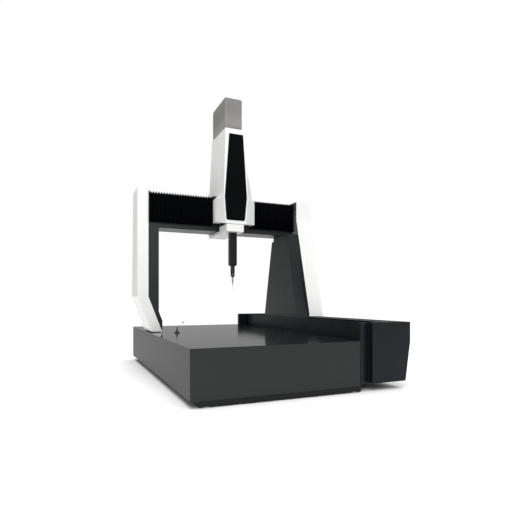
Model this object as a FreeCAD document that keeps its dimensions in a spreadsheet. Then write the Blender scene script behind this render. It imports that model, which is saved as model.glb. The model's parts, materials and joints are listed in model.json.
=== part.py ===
"""A bridge-type coordinate measuring machine, built as a parametric document.

Every place is measured from the table's datum: the front left corner of the granite's top face, with X
across the front, Y towards the back and Z up.  Each finished piece is then shifted so that the origin lies
on the floor, under the middle of the machine.  All sizes are millimetres and live in the sheet named Sizes.
"""
import FreeCAD, Part
import os
from types import SimpleNamespace

import Sketcher

VECTOR = FreeCAD.Vector
DOC = FreeCAD.newDocument("CoordinateMeasuringMachine")

SIZES = [
    # granite table, its frame and its feet
    ("table_width", 1900, "granite, across"),
    ("table_depth", 3725, "granite, front to back"),
    ("table_height", 490, "granite, top to bottom"),
    ("table_edge", 8, "bevel round the granite's top and bottom"),
    ("frame_height", 58, "steel frame under the granite"),
    ("frame_beam", 160, "width of each frame beam"),
    ("frame_inset", 88, "frame's left end, in from the granite's"),
    ("frame_overhang", 25, "frame's right end, past the granite's"),
    ("frame_setback", 14, "frame's front and back, in from the granite's"),
    ("frame_corner", 25, "radius of the frame's upright corners"),
    ("foot_lift", 12, "floor to frame"),
    ("foot_radius", 65, "levelling foot's pad"),
    ("foot_pad", 8.4, "its height"),
    ("foot_neck", 52, "radius of the foot's upper step"),
    ("foot_inset", 80, "foot's axis, in from the frame's outline"),
    ("insert_radius", 10, "threaded insert, outside"),
    ("insert_hole", 3.4, "radius of the insert's thread hole"),
    ("insert_depth", 24, "insert's length"),
    ("insert_first_x", 250, "first column of inserts"),
    ("insert_first_y", 500, "first row of inserts"),
    ("insert_pitch_x", 450, "column to column"),
    ("insert_pitch_y", 700, "row to row"),
    # reference sphere
    ("sphere_x", 350, "sphere stand's axis, across"),
    ("sphere_y", 2001, "sphere stand's axis, from the front"),
    ("stand_radius", 36, "stand's foot"),
    ("stand_shoulder", 28.8, "top of the stand's tapered foot"),
    ("stand_height", 18, "stand's foot"),
    ("stem_height", 68, "stand's tapered stem"),
    ("stem_radius", 13, "stem at the foot"),
    ("stem_tip", 3.5, "stem at the sphere"),
    ("sphere_radius", 15, "reference sphere"),
    ("shank_reach", 88, "sphere's centre beside the stand's axis"),
    ("shank_rise", 60, "sphere's centre over the stem"),
    ("shank_side", 6, "the sphere's inclined shank, square"),
    # guideway along Y and its covers
    ("way_width", 359, "guide beam, across"),
    ("way_height", 310, "guide beam, top to bottom"),
    ("way_drop", 20, "guide beam's top under the granite's top"),
    ("cover_reach", 694, "guide cover past the granite's right side"),
    ("cover_top", 197, "guide cover's top over the granite's top"),
    ("cover_side", 225, "upright part of the cover's outer side"),
    ("cover_taper", 67, "how far the outer side leans in below it"),
    ("cover_bottom", 475, "cover's bottom below the granite's top"),
    ("cover_wall", 5, "sheet of the guide cover"),
    ("cover_corner", 22, "radius of the cover's lower outer corner"),
    ("nose_depth", 70, "front cap of the guide cover"),
    ("nose_recess", 62, "depth of the dark recess beside the granite"),
    ("nose_gap", 158, "width of that recess"),
    ("wall_offset", 146, "inner guide wall, past the granite's right side"),
    ("wall_sheet", 8, "inner guide wall's thickness"),
    ("band_width", 155, "steel cover band in the slot"),
    ("band_sheet", 1.5, "its thickness"),
    ("band_depth", 17, "its underside below the cover's top"),
    ("band_clearance", 4, "column tunnel round the band"),
    ("seal_sheet", 5, "slot brush's height"),
    ("seal_gap", 0.3, "brush tip to column"),
    ("air_gap", 0.3, "air film, drawn larger than the real one"),
    ("pad_thickness", 30, "large air bearing pad"),
    ("pad_radius", 45, "large air bearing pad"),
    ("scale_height", 12, "measuring scale, wide"),
    ("scale_sheet", 1.5, "measuring scale, thick"),
    ("head_margin", 6, "X reading head past its scale, on both sides"),
    ("bar_height", 20, "friction drive bar, wide"),
    ("bar_depth", 12, "friction drive bar, deep"),
    ("roller_radius", 25, "friction drive roller"),
    ("roller_gap", 0.05, "roller to bar"),
    ("x_motor_size", 42, "X motor, square in plan"),
    ("x_motor_length", 92, "with its mounting flange"),
    ("x_motor_height", 60, "its height"),
    ("x_roller_radius", 16, "X friction roller"),
    ("motor_size", 70, "drive motor, square"),
    ("motor_length", 130, "drive motor, long"),
    ("shaft_radius", 7, "motor shaft"),
    ("stop_width", 120, "end stop block, across"),
    ("stop_height", 80, "end stop block, tall"),
    ("stop_depth", 70, "end stop block, along the way"),
    ("buffer_radius", 22, "rubber buffer"),
    ("buffer_front", 59.7, "front buffer's length, which leaves 1500 of travel in front of the column"),
    ("buffer_back", 114.7, "rear buffer's length, which leaves 600 of travel behind it"),
    # right column
    ("column_offset", 166, "column's inner face past the granite's right side"),
    ("column_width", 195, "column, across"),
    ("column_foot", 60, "column's foot over the granite's top"),
    ("column_toe", 190, "height where the column's flare starts"),
    ("column_knee", 608, "height where the front flare ends"),
    ("column_front_foot", 1700, "front of the column at its foot"),
    ("column_front_knee", 1858, "front of the column at the knee"),
    ("column_front_head", 2016, "front of the column at its head"),
    ("column_back_head", 2582, "back of the column at its head"),
    ("column_back_foot", 2870, "back of the column at its foot"),
    ("column_wall", 30, "walls and ribs of both column castings"),
    ("column_head", 62, "narrower head block under the beam"),
    ("column_head_step", 60, "how far the head block stands in from the column's back"),
    ("column_head_front", 20, "the same at the front"),
    ("column_round", 2500, "radius that softens the knee"),
    ("outer_reach", 259, "white column cover's depth across"),
    ("outer_gap", 10, "white cover over the guide cover"),
    ("outer_front_head", 2100, "white cover's front at its top"),
    ("outer_front_foot", 1690, "white cover's front at its foot"),
    ("outer_back_head", 2640, "white cover's back at its top"),
    ("outer_bend", 1700, "height where the white cover starts to widen"),
    ("outer_top", 1990, "top of both white column covers"),
    ("outer_round", 55, "radius of its upright outer edges"),
    # shoe that carries the right column
    ("shoe_flange", 50, "thickness of the shoe's hanging flange"),
    ("shoe_hook", 95, "how far the shoe reaches under the guide beam"),
    ("shoe_plate", 40, "thickness of the shoe's lower lip"),
    # left column
    ("left_reach", 150, "white cover past the granite's left side"),
    ("left_width", 144, "dark inner column, across"),
    ("left_front", 2200, "left column's front"),
    ("left_back_top", 2605, "its cover's back at the top"),
    ("left_back_bend", 2750, "its cover's back at the bend"),
    ("left_back_foot", 2810, "its cover's back at the foot"),
    ("left_bend", 498, "height where the cover turns in"),
    ("left_foot_in", 36, "cover's outer side at the foot"),
    ("left_heel_in", 50, "inner column's outer side at the foot block"),
    ("bracket_width", 132, "bracket that holds the beam's left end"),
    ("bracket_sheet", 24, "its thickness"),
    ("bracket_low", 75, "its lower edge below the beam"),
    ("bracket_high", 62, "its upper edge above the beam's underside"),
    ("left_foot_end", 194, "inner end of the left foot"),
    ("left_ankle", 290, "height where the inner column starts to widen"),
    ("left_heel", 162, "height where it reaches its full width"),
    ("left_foot_top", 74, "top of the foot block"),
    ("left_inset", 12, "inner column in from its cover"),
    ("shell_wall", 5, "wall of the white covers"),
    ("foot_gap", 10, "cover's lower edge over the granite"),
    # cross beam and its bellows
    ("beam_front", 2240, "beam's front face"),
    ("beam_depth", 350, "beam, front to back"),
    ("beam_bottom", 1463, "beam's underside"),
    ("beam_height", 462, "beam, top to bottom"),
    ("beam_wall", 25, "beam's wall"),
    ("bellows_front", 2185, "front of the pleats"),
    ("bellows_back", 2645, "back of the pleats"),
    ("bellows_rise", 34, "top of the pleats over the beam"),
    ("bellows_skirt", 67, "lower edge of the pleats over the beam's underside"),
    ("bellows_depth", 26, "depth of a pleat"),
    ("bellows_cloth", 2, "thickness of the cloth"),
    ("bellows_frame", 12, "end frame of the bellows"),
    ("pleat", 38, "pleat to pleat"),
    # carriage
    ("carriage_left", 925, "left side of the carriage"),
    ("carriage_right", 1543, "right side of the carriage"),
    ("housing_front", 1862, "housing's front face"),
    ("housing_shoulder", 2093, "where the housing's flanks reach their full width"),
    ("housing_top", 2865, "top of the housing"),
    ("housing_waist", 1900, "height of the widest part"),
    ("housing_wing", 1567, "lower edge of the wings"),
    ("housing_chin", 1525, "lower edge of the front"),
    ("housing_wall", 6, "housing's wall"),
    ("tower_left", 1003, "housing's left side at its top"),
    ("tower_right", 1304, "housing's right side at its top"),
    ("waist_left", 980, "housing front's left side at the waist"),
    ("waist_right", 1338, "housing front's right side at the waist"),
    ("chin_inset", 25, "front's lower corners, in from the waist's"),
    ("tower_back_top", 2480, "housing's back at its top"),
    ("tower_back", 2610, "housing's back over the beam"),
    ("tower_gap", 17, "housing's lower edge over the pleats"),
    ("tower_straight", 124, "from there to where the back starts to lean"),
    ("flank_rise", 60, "from the waist to where the flanks lean in"),
    ("panel_sheet", 4, "black front panel"),
    ("panel_top", 2793, "its upper edge"),
    ("panel_bottom", 1573, "its lower edge"),
    ("panel_rim", 12, "its widest corners, in from the waist's"),
    ("panel_top_left", 76.5, "its upper left corner, in from the waist's"),
    ("panel_top_right", 72, "its upper right corner, in from the waist's"),
    ("panel_low_left", 36, "its lower left corner, in from the waist's"),
    ("panel_low_right", 45, "its lower right corner, in from the waist's"),
    ("tray_left", 1022, "under-beam cover, left side"),
    ("tray_right", 1282, "under-beam cover, right side"),
    ("tray_bottom", 1416, "under-beam cover, lower face"),
    ("tray_lip", 1520, "under-beam cover, top of its front"),
    ("tray_sheet", 3, "under-beam cover's sheet"),
    ("tray_front", 15, "thickness of its front"),
    ("tray_round", 12, "radius of its front corners"),
    ("tray_gap", 4, "under-beam cover to the beam"),
    ("rear_depth", 88, "rear cover, front to back"),
    ("box_left", 1013, "Z column cover, left side"),
    ("box_right", 1268, "Z column cover, right side"),
    ("box_front", 1905, "Z column cover, front"),
    ("box_back", 2472, "Z column cover, back"),
    ("box_top", 3310, "Z column cover, top"),
    ("box_sheet", 3, "Z column cover's sheet"),
    ("box_round", 16, "radius of its upright edges"),
    ("ring_thickness", 35, "carriage frame's walls"),
    ("ring_left", 1045, "carriage frame, left side"),
    ("ring_right", 1270, "carriage frame, right side"),
    ("ring_gap", 45, "carriage frame to the beam"),
    ("ring_bottom", 22, "carriage frame's lower plate"),
    ("slim_pad", 16, "air bearing under the beam"),
    ("mast_thickness", 30, "plate that carries the Z drive"),
    ("mast_left", 1040, "its left side"),
    ("mast_right", 1225, "its right side"),
    ("mast_notch", 100, "step in its top, across"),
    ("mast_notch_drop", 100, "step in its top, down"),
    ("mast_bottom", 1500, "its lower end"),
    ("mast_top", 3290, "its upper end"),
    # ram
    ("ram_x", 1172, "ram's axis, across"),
    ("ram_y", 2033, "ram's axis, from the front"),
    ("ram_side", 102, "ram, square"),
    ("ram_bottom", 950, "ram's lower end"),
    ("ram_top", 2760, "ram's upper end"),
    ("ram_wall", 14, "ram's wall"),
    ("ram_edge", 8, "bevel along the ram"),
    ("guide_pad", 12, "ram air bearing, thick"),
    ("guide_pad_radius", 25, "ram air bearing"),
    ("guide_stud", 8, "its adjusting stud, long"),
    ("guide_wall", 16, "ram guide ring's wall"),
    ("guide_height", 100, "ram guide ring, tall"),
    ("guide_low", 1500, "lower ring's underside"),
    ("guide_high", 2005, "upper ring's underside"),
    ("window_gap", 8, "ram to the window in the under-beam cover"),
    # drives inside the Z column
    ("yoke_height", 20, "plate on top of the ram"),
    ("belt_x", 1244, "Z belt, across"),
    ("belt_y", 2190, "Z belt pulleys' axes, from the front"),
    ("belt_width", 20, "Z belt"),
    ("belt_sheet", 2, "Z belt's thickness"),
    ("belt_radius", 20, "Z belt pulleys"),
    ("belt_low", 2150, "lower pulley's axis"),
    ("belt_high", 3240, "upper pulley's axis"),
    ("balance_x", 1085, "balance cable, across"),
    ("balance_y", 2145, "balance pulley's axis, from the front"),
    ("balance_z", 3250, "balance pulley's axis, up"),
    ("balance_radius", 45, "balance pulley"),
    ("axle_depth", 25, "how deep the balance pulley's axle sits in the mast"),
    ("balance_width", 14, "balance pulley"),
    ("cable_radius", 2.5, "balance cable"),
    ("cylinder_radius", 24, "balance cylinder"),
    ("cylinder_top", 3000, "balance cylinder's upper end"),
    ("z_motor_size", 60, "Z motor, square"),
    ("z_motor_length", 104, "Z motor, long"),
    ("z_motor_bore", 10, "depth of its shaft's bore"),
    ("clamp_step", 8, "belt clamp, past the mast's side"),
    # probe head and probe
    ("head_block", 52, "head's upper block, square"),
    ("head_height", 68, "head's upper block, tall"),
    ("head_flange", 70.2, "its flange under the ram, square"),
    ("knuckle_radius", 31, "swivelling knuckle"),
    ("knuckle_height", 42, "knuckle, tall"),
    ("fork_gap", 34, "between the knuckle's two cheeks"),
    ("fork_cheek", 9, "each cheek"),
    ("fork_drop", 34, "tilt axis below the knuckle"),
    ("pivot_radius", 7, "tilt axle"),
    ("barrel_radius", 16, "probe holder"),
    ("probe_radius", 12.5, "probe body"),
    ("probe_length", 64, "probe body"),
    ("probe_top", 30, "probe body's upper end below the tilt axis"),
    ("module_radius", 9, "stylus module"),
    ("module_length", 26, "stylus module"),
    ("stylus_hub", 7, "hub at the stylus's upper end, long and wide"),
    ("stylus_radius", 2, "stylus stem"),
    ("stylus_length", 70, "stylus, module to ball centre"),
    ("stylus_ball", 4, "ruby ball's radius"),
    ("fit_gap", 0.05, "running clearance of a pin, all round"),
]


class Size:
    """A length that knows its value and the expression that gives it from the sheet."""

    def __init__(self, value, text):
        self.value = float(value)
        self.text = text

    def _join(self, other, sign, value):
        return Size(value, f"({self.text} {sign} {as_size(other).text})")

    def __add__(self, other):
        return self._join(other, "+", self.value + as_size(other).value)

    def __sub__(self, other):
        return self._join(other, "-", self.value - as_size(other).value)

    def __mul__(self, other):
        return self._join(other, "*", self.value * as_size(other).value)

    def __truediv__(self, other):
        return self._join(other, "/", self.value / as_size(other).value)

    def __radd__(self, other):
        return as_size(other) + self

    def __rsub__(self, other):
        return as_size(other) - self

    def __rmul__(self, other):
        return as_size(other) * self

    def __neg__(self):
        return as_size(0) - self


def as_size(value):
    """A Size from a Size or a plain number."""
    return value if isinstance(value, Size) else Size(value, repr(float(value)))


def make_sheet():
    """Write every driving size into the sheet, and return them by name."""
    sheet = DOC.addObject("Spreadsheet::Sheet", "Sizes")
    sizes = {}
    for row, (name, value, meaning) in enumerate(SIZES, start=1):
        sheet.set(f"A{row}", name)
        sheet.set(f"B{row}", str(value))
        sheet.set(f"C{row}", meaning)
        sheet.setAlias(f"B{row}", name)
        sizes[name] = Size(value, f"Sizes.{name}")
    DOC.recompute()
    return SimpleNamespace(**sizes)


s = make_sheet()
NODES = {}

# The floor's middle, seen from the table's datum.
MIDDLE_X = (s.table_width + s.cover_reach - s.left_reach) / 2
MIDDLE_Y = s.table_depth / 2
FLOOR_DROP = s.table_height + s.frame_height + s.foot_lift
SHIFT = (-MIDDLE_X, -MIDDLE_Y, FLOOR_DROP)

AXES = {"X": VECTOR(1, 0, 0), "Y": VECTOR(0, 1, 0), "Z": VECTOR(0, 0, 1)}
TURNS = {"X": (VECTOR(0, 1, 0), 90), "Y": (VECTOR(1, 0, 0), -90), "Z": (VECTOR(0, 0, 1), 0)}
PLANES = {"XY": "XY_Plane", "XZ": "XZ_Plane", "YZ": "YZ_Plane"}


# ---------------------------------------------------------------- primitives
def bind(obj, path, size):
    """Bind one property of an object to a size."""
    obj.setExpression(path, as_size(size).text)


def seat(obj, place):
    """Put an object at a place that is measured from the table's datum."""
    for axis, size, shift in zip("xyz", place, SHIFT):
        bind(obj, f"Placement.Base.{axis}", as_size(size) + shift)


def block(name, x, y, z):
    """A box between two places on each axis."""
    box = DOC.addObject("Part::Box", name)
    seat(box, (x[0], y[0], z[0]))
    for path, (low, high) in zip(("Length", "Width", "Height"), (x, y, z)):
        bind(box, path, as_size(high) - low)
    return box


def rod(name, axis, start, radius, length, tip=None):
    """A cylinder, or with a tip radius a cone, that runs from start along +axis."""
    kind = "Part::Cylinder" if tip is None else "Part::Cone"
    bar = DOC.addObject(kind, name)
    bar.Placement = FreeCAD.Placement(VECTOR(), FreeCAD.Rotation(*TURNS[axis]))
    seat(bar, start)
    bind(bar, "Radius" if tip is None else "Radius1", radius)
    if tip is not None:
        bind(bar, "Radius2", tip)
    bind(bar, "Height", length)
    return bar


def ball(name, centre, radius):
    """A sphere."""
    sphere = DOC.addObject("Part::Sphere", name)
    seat(sphere, centre)
    bind(sphere, "Radius", radius)
    return sphere


def fused(name, pieces):
    """Several overlapping or touching solids as one."""
    whole = DOC.addObject("Part::MultiFuse", name)
    whole.Shapes = pieces
    whole.Refine = True
    return whole


def bored(name, blank, tools):
    """A blank with tools taken out of it."""
    tool = tools[0] if len(tools) == 1 else fused(name + "_tools", tools)
    whole = DOC.addObject("Part::Cut", name)
    whole.Base = blank
    whole.Tool = tool
    return whole


def grouped(name, pieces):
    """Separate solids that share one node."""
    whole = DOC.addObject("Part::Compound", name)
    whole.Links = pieces
    return whole


def node(name, piece):
    """Give a finished piece its node's name."""
    piece.Label = name
    NODES[name] = piece
    return piece


# ---------------------------------------------------------------- sketched bodies
def make_body(name):
    """An empty body whose own frame is the table's datum."""
    body = DOC.addObject("PartDesign::Body", name)
    seat(body, (0, 0, 0))
    DOC.recompute()
    return body


def origin_part(body, role):
    """One of the body's own origin planes or axes."""
    return next(part for part in body.Origin.OriginFeatures if part.Role == role)


def outline(body, plane, points, height):
    """A closed sketch through the points, on an origin plane moved along its axis."""
    sketch = body.newObject("Sketcher::SketchObject", "Outline")
    sketch.AttachmentSupport = [(origin_part(body, PLANES[plane]), "")]
    sketch.MapMode = "FlatFace"
    height = as_size(height)
    bind(sketch, "AttachmentOffset.Base.z", -height if plane == "XZ" else height)
    corners = [(as_size(u), as_size(v)) for u, v in points]
    spots = [VECTOR(u.value, v.value, 0) for u, v in corners]
    count = len(spots)
    for index in range(count):
        sketch.addGeometry(Part.LineSegment(spots[index], spots[(index + 1) % count]))
    for index, corner in enumerate(corners):
        sketch.addConstraint(Sketcher.Constraint("Coincident", index, 2, (index + 1) % count, 1))
        for kind, size in zip(("DistanceX", "DistanceY"), corner):
            rule = Sketcher.Constraint(kind, -1, 1, index, 1, size.value)
            number = sketch.addConstraint(rule)
            bind(sketch, f"Constraints[{number}]", size)
    return sketch


def pad(body, plane, points, low, high):
    """Pad an outline from low to high along the plane's axis."""
    feature = body.newObject("PartDesign::Pad", "Pad")
    feature.Profile = outline(body, plane, points, low)
    feature.Reversed = plane == "XZ"
    bind(feature, "Length", as_size(high) - low)
    DOC.recompute()
    return feature


def pocket(body, plane, points, low, high):
    """Cut an outline out of the body from low to high along the plane's axis."""
    before = body.Shape.Volume
    feature = body.newObject("PartDesign::Pocket", "Pocket")
    feature.Profile = outline(body, plane, points, low if plane == "XZ" else high)
    bind(feature, "Length", as_size(high) - low)
    DOC.recompute()
    if body.Shape.Volume >= before:
        raise ValueError(f"a pocket cuts nothing from {body.Label}")
    return feature


def loft(body, kind, plane, sections):
    """Join outlines that stand at several heights, adding to the body or cutting from it."""
    sketches = [outline(body, plane, points, height) for points, height in sections]
    feature = body.newObject(f"PartDesign::{kind}Loft", "Loft")
    feature.Profile = sketches[0]
    feature.Sections = sketches[1:]
    feature.Ruled = True
    DOC.recompute()
    return feature


def edges_along(shape, axis, test):
    """Names of the straight edges along an axis whose middles pass a test."""
    names = []
    for number, edge in enumerate(shape.Edges, start=1):
        ends = [vertex.Point for vertex in edge.Vertexes]
        if edge.Curve.TypeId != "Part::GeomLine" or len(ends) != 2:
            continue
        run = (ends[1] - ends[0]).normalize()
        middle = (ends[0] + ends[1]) * 0.5
        if abs(run.dot(AXES[axis])) > 0.999 and test(middle):
            names.append(f"Edge{number}")
    return names


def rounded(body, axis, radius, test=lambda middle: True, kind="Fillet"):
    """Round or bevel the body's straight edges along an axis; places in the test are the datum's."""
    tip = body.Tip
    names = edges_along(tip.Shape, axis, test)
    if not names:
        raise ValueError(f"{body.Label} has no edge to round")
    feature = body.newObject(f"PartDesign::{kind}", kind)
    feature.Base = (tip, names)
    bind(feature, "Radius" if kind == "Fillet" else "Size", radius)
    DOC.recompute()
    return feature


def rectangle(x, y):
    """The four corners of a rectangle."""
    return [(x[0], y[0]), (x[1], y[0]), (x[1], y[1]), (x[0], y[1])]


def slab(name, x, y, z):
    """A padded rectangle, for a block that gets rounds or pockets."""
    body = make_body(name)
    pad(body, "XY", rectangle(x, y), z[0], z[1])
    return body


def near(value, size, slack=1.0):
    """Whether a place found on a shape is a size's place."""
    return abs(value - as_size(size).value) < slack


# ---------------------------------------------------------------- places that several pieces share
TABLE = (as_size(0), s.table_width)
FRAME_X = (s.frame_inset, s.table_width + s.frame_overhang)
FRAME_Y = (s.frame_setback, s.table_depth - s.frame_setback)
FRAME_Z = (-s.table_height - s.frame_height, -s.table_height)

WAY_RIGHT = s.table_width + s.way_width
WAY_TOP = -s.way_drop
WAY_BOTTOM = WAY_TOP - s.way_height
WAY_Y = (s.nose_depth, s.table_depth - s.nose_depth)
COLUMN_X = (s.table_width + s.column_offset, s.table_width + s.column_offset + s.column_width)
COLUMN_MIDDLE = (COLUMN_X[0] + COLUMN_X[1]) / 2
WALL_X = (s.table_width + s.wall_offset, s.table_width + s.wall_offset + s.wall_sheet)
SLOT_RIGHT = COLUMN_X[1] + s.seal_sheet
BAND_Z = (s.cover_top - s.band_depth, s.cover_top - s.band_depth + s.band_sheet)
FLANGE_X = (WAY_RIGHT + s.air_gap + s.pad_thickness, WAY_RIGHT + s.air_gap + s.pad_thickness + s.shoe_flange)

BEAM_X = (as_size(0), COLUMN_X[1])
BEAM_Y = (s.beam_front, s.beam_front + s.beam_depth)
BEAM_Z = (s.beam_bottom, s.beam_bottom + s.beam_height)
BELLOWS_Z = (BEAM_Z[0] + s.bellows_skirt, BEAM_Z[1] + s.bellows_rise)
TOWER_FOOT = BELLOWS_Z[1] + s.tower_gap
TOWER_BEND = TOWER_FOOT + s.tower_straight
FLANK_TOP = s.housing_waist + s.flank_rise
RING_Y = (BEAM_Y[0] - s.ring_gap, BEAM_Y[1] + s.ring_gap)
RING_Z = (BEAM_Z[0] - s.slim_pad - s.air_gap, BEAM_Z[1] + s.ring_gap)
MAST_Y = (RING_Y[0] - s.ring_thickness - s.mast_thickness, RING_Y[0] - s.ring_thickness)
RAM_X = (s.ram_x - s.ram_side / 2, s.ram_x + s.ram_side / 2)
RAM_Y = (s.ram_y - s.ram_side / 2, s.ram_y + s.ram_side / 2)
GUIDE_REACH = s.ram_side / 2 + s.air_gap + s.guide_pad + s.guide_stud
X_BAR_Z = (BEAM_Z[1] - s.bar_height * 2, BEAM_Z[1] - s.bar_height)
X_ROLLER = (s.ring_right + s.x_motor_length / 2, BEAM_Y[1] + s.bar_depth + s.x_roller_radius + s.roller_gap)
RING_OUTER_Y = (RING_Y[0] - s.ring_thickness, RING_Y[1] + s.ring_thickness)
RING_OUTER_Z = (RING_Z[0] - s.ring_bottom, RING_Z[1] + s.ring_thickness)
REAR_Y = s.tower_back + s.rear_depth


# ---------------------------------------------------------------- table
def granite_table():
    """A bevelled granite plate with blind holes for its threaded inserts."""
    granite = slab("granite", TABLE, (0, s.table_depth), (-s.table_height, 0))
    rounded(granite, "Z", s.table_edge, kind="Chamfer")
    holes = [rod("insert_seat", "Z", (x, y, -s.insert_depth), s.insert_radius + s.fit_gap, s.insert_depth)
             for x, y in insert_places()]
    node("granite_table", bored("granite_table", granite, holes))


def insert_places():
    """Where the threaded inserts stand, column by column."""
    return [(s.insert_first_x + s.insert_pitch_x * column, s.insert_first_y + s.insert_pitch_y * row)
            for column in range(4) for row in range(4)]


def table_inserts():
    """Steel bushes let into the granite, each with a threaded hole."""
    bushes = [rod("bush", "Z", (x, y, -s.insert_depth), s.insert_radius, s.insert_depth)
              for x, y in insert_places()]
    holes = [rod("thread", "Z", (x, y, -s.insert_depth), s.insert_hole, s.insert_depth)
             for x, y in insert_places()]
    node("table_inserts", bored("table_inserts", grouped("bushes", bushes), [grouped("threads", holes)]))


def base_frame():
    """Steel beams under the granite: two ends, two sides and two cross members."""
    x, y, z = FRAME_X, FRAME_Y, FRAME_Z
    beam = s.frame_beam
    ends = []
    for side, (low, high) in ((y[0], (y[0], y[0] + beam)), (y[1], (y[1] - beam, y[1]))):
        end = slab("frame_end", x, (low, high), z)
        rounded(end, "Z", s.frame_corner, lambda middle, side=side: near(middle.y, side))
        ends.append(end)
    inner = (y[0] + beam, y[1] - beam)
    sides = [block("frame_side", (x[0], x[0] + beam), inner, z),
             block("frame_side", (x[1] - beam, x[1]), inner, z)]
    crosses = []
    for third in (1, 2):
        middle = inner[0] + (inner[1] - inner[0]) / 3 * third
        y = (middle - beam / 2, middle + beam / 2)
        crosses.append(block("frame_cross", (x[0] + beam, x[1] - beam), y, z))
    node("base_frame", grouped("base_frame", ends + sides + crosses))


def levelling_feet():
    """Six stepped pads that the frame stands on."""
    feet = []
    for x in (FRAME_X[0] + s.foot_inset, FRAME_X[1] - s.foot_inset):
        for y in (FRAME_Y[0] + s.foot_inset, MIDDLE_Y, FRAME_Y[1] - s.foot_inset):
            pad_part = rod("foot_pad", "Z", (x, y, -FLOOR_DROP), s.foot_radius, s.foot_pad)
            neck = rod("foot_neck", "Z", (x, y, -FLOOR_DROP), s.foot_neck, s.foot_lift)
            feet.append(fused("foot", [pad_part, neck]))
    node("levelling_feet", grouped("levelling_feet", feet))


def reference_sphere():
    """A stand with a tapered stem, and the sphere on its inclined shank."""
    x, y = s.sphere_x, s.sphere_y
    foot = rod("stand_foot", "Z", (x, y, 0), s.stand_radius, s.stand_height, s.stand_shoulder)
    stem = rod("stand_stem", "Z", (x, y, s.stand_height), s.stem_radius, s.stem_height, s.stem_tip)
    node("sphere_stand", fused("sphere_stand", [foot, stem]))
    top = s.stand_height + s.stem_height
    half = s.shank_side / 2
    shank = make_body("shank")
    points = [(x - half, top), (x + half, top), (x + s.shank_reach + half, top + s.shank_rise),
              (x + s.shank_reach - half, top + s.shank_rise)]
    pad(shank, "XZ", points, y - half, y + half)
    sphere = ball("sphere", (x + s.shank_reach, y, top + s.shank_rise), s.sphere_radius)
    node("reference_sphere", fused("reference_sphere", [shank, sphere]))


# ---------------------------------------------------------------- guideway along Y
def cover_outline():
    """The guide cover's outer shape, seen from the front, without its left side."""
    right = s.table_width + s.cover_reach
    return [(right, s.cover_top), (right, s.cover_top - s.cover_side),
            (right - s.cover_taper, -s.cover_bottom)]


def cover_left():
    """The guide cover's left side, a seam's width off the granite."""
    return s.table_width + s.insert_hole


def guide_way():
    """The granite beam that the bridge rides on, its scale, drive bar and end stops."""
    x = (s.table_width, WAY_RIGHT)
    node("y_guide_beam", block("y_guide_beam", x, WAY_Y, (WAY_BOTTOM, WAY_TOP)))
    scale_top = WAY_TOP - s.pad_radius * 2 - s.roller_radius
    strip = (WAY_RIGHT, WAY_RIGHT + s.scale_sheet)
    run = (WAY_Y[0] + s.stop_depth, WAY_Y[1] - s.stop_depth)
    node("y_scale", block("y_scale", strip, run, (scale_top - s.scale_height, scale_top)))
    bar_top = scale_top - s.scale_height - s.pad_radius
    bar = block("y_drive_bar", (WAY_RIGHT, WAY_RIGHT + s.bar_depth), run, (bar_top - s.bar_height, bar_top))
    node("y_drive_bar", bar)
    stop_x = (COLUMN_MIDDLE - s.stop_width / 2, COLUMN_MIDDLE + s.stop_width / 2)
    stop_z = (WAY_TOP, WAY_TOP + s.stop_height)
    axis = (COLUMN_MIDDLE, (stop_z[0] + stop_z[1]) / 2)
    back_y = WAY_Y[1] - s.stop_depth
    stops = []
    for block_y, rubber_y, length in ((WAY_Y[0], run[0], s.buffer_front),
                                      (back_y, back_y - s.buffer_back, s.buffer_back)):
        stop = block("stop_block", stop_x, (block_y, block_y + s.stop_depth), stop_z)
        rubber = rod("stop_rubber", "Y", (axis[0], rubber_y, axis[1]), s.buffer_radius, length)
        stops.append(fused("end_stop", [stop, rubber]))
    node("y_end_stops", grouped("y_end_stops", stops))


def guide_cover():
    """The long sheet housing round the guide beam, open at its left and along the slot."""
    right, shoulder, heel = cover_outline()
    left, wall = cover_left(), s.cover_wall
    points = [(SLOT_RIGHT, s.cover_top), right, shoulder, heel, (left, -s.cover_bottom), (left, WAY_BOTTOM),
              (left + wall, WAY_BOTTOM), (left + wall, -s.cover_bottom + wall),
              (heel[0] - wall, heel[1] + wall), (shoulder[0] - wall, shoulder[1]),
              (right[0] - wall, right[1] - wall), (SLOT_RIGHT, s.cover_top - wall)]
    cover = make_body("cover")
    pad(cover, "XZ", points, WAY_Y[0], WAY_Y[1])
    inner, outer = heel[0] - wall, heel[0]
    rounded(cover, "Y", s.cover_corner - wall,
            lambda middle: near(middle.x, inner) and near(middle.z, heel[1] + wall))
    rounded(cover, "Y", s.cover_corner, lambda middle: near(middle.x, outer) and near(middle.z, heel[1]))
    node("guide_cover", cover)


def cover_cap(name, y):
    """An end cap of the guide cover, solid on its left and hollow on its right."""
    right, shoulder, heel = cover_outline()
    left, wall = cover_left(), s.cover_wall
    cap = make_body(name)
    pad(cap, "XZ", [(left, s.cover_top), right, shoulder, heel, (left, -s.cover_bottom)], y[0], y[1])
    rounded(cap, "Y", s.cover_corner, lambda middle: near(middle.x, heel[0]) and near(middle.z, heel[1]))
    return cap


def cap_hollow(cap, y):
    """Hollow the cap's right part out, leaving its wall."""
    right, shoulder, heel = cover_outline()
    wall = s.cover_wall
    pocket(cap, "XZ", [(SLOT_RIGHT, right[1] - wall), (right[0] - wall, right[1] - wall),
                       (shoulder[0] - wall, shoulder[1]), (heel[0] - wall - s.cover_corner, heel[1] + wall),
                       (SLOT_RIGHT, heel[1] + wall)], y[0], y[1])


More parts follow.
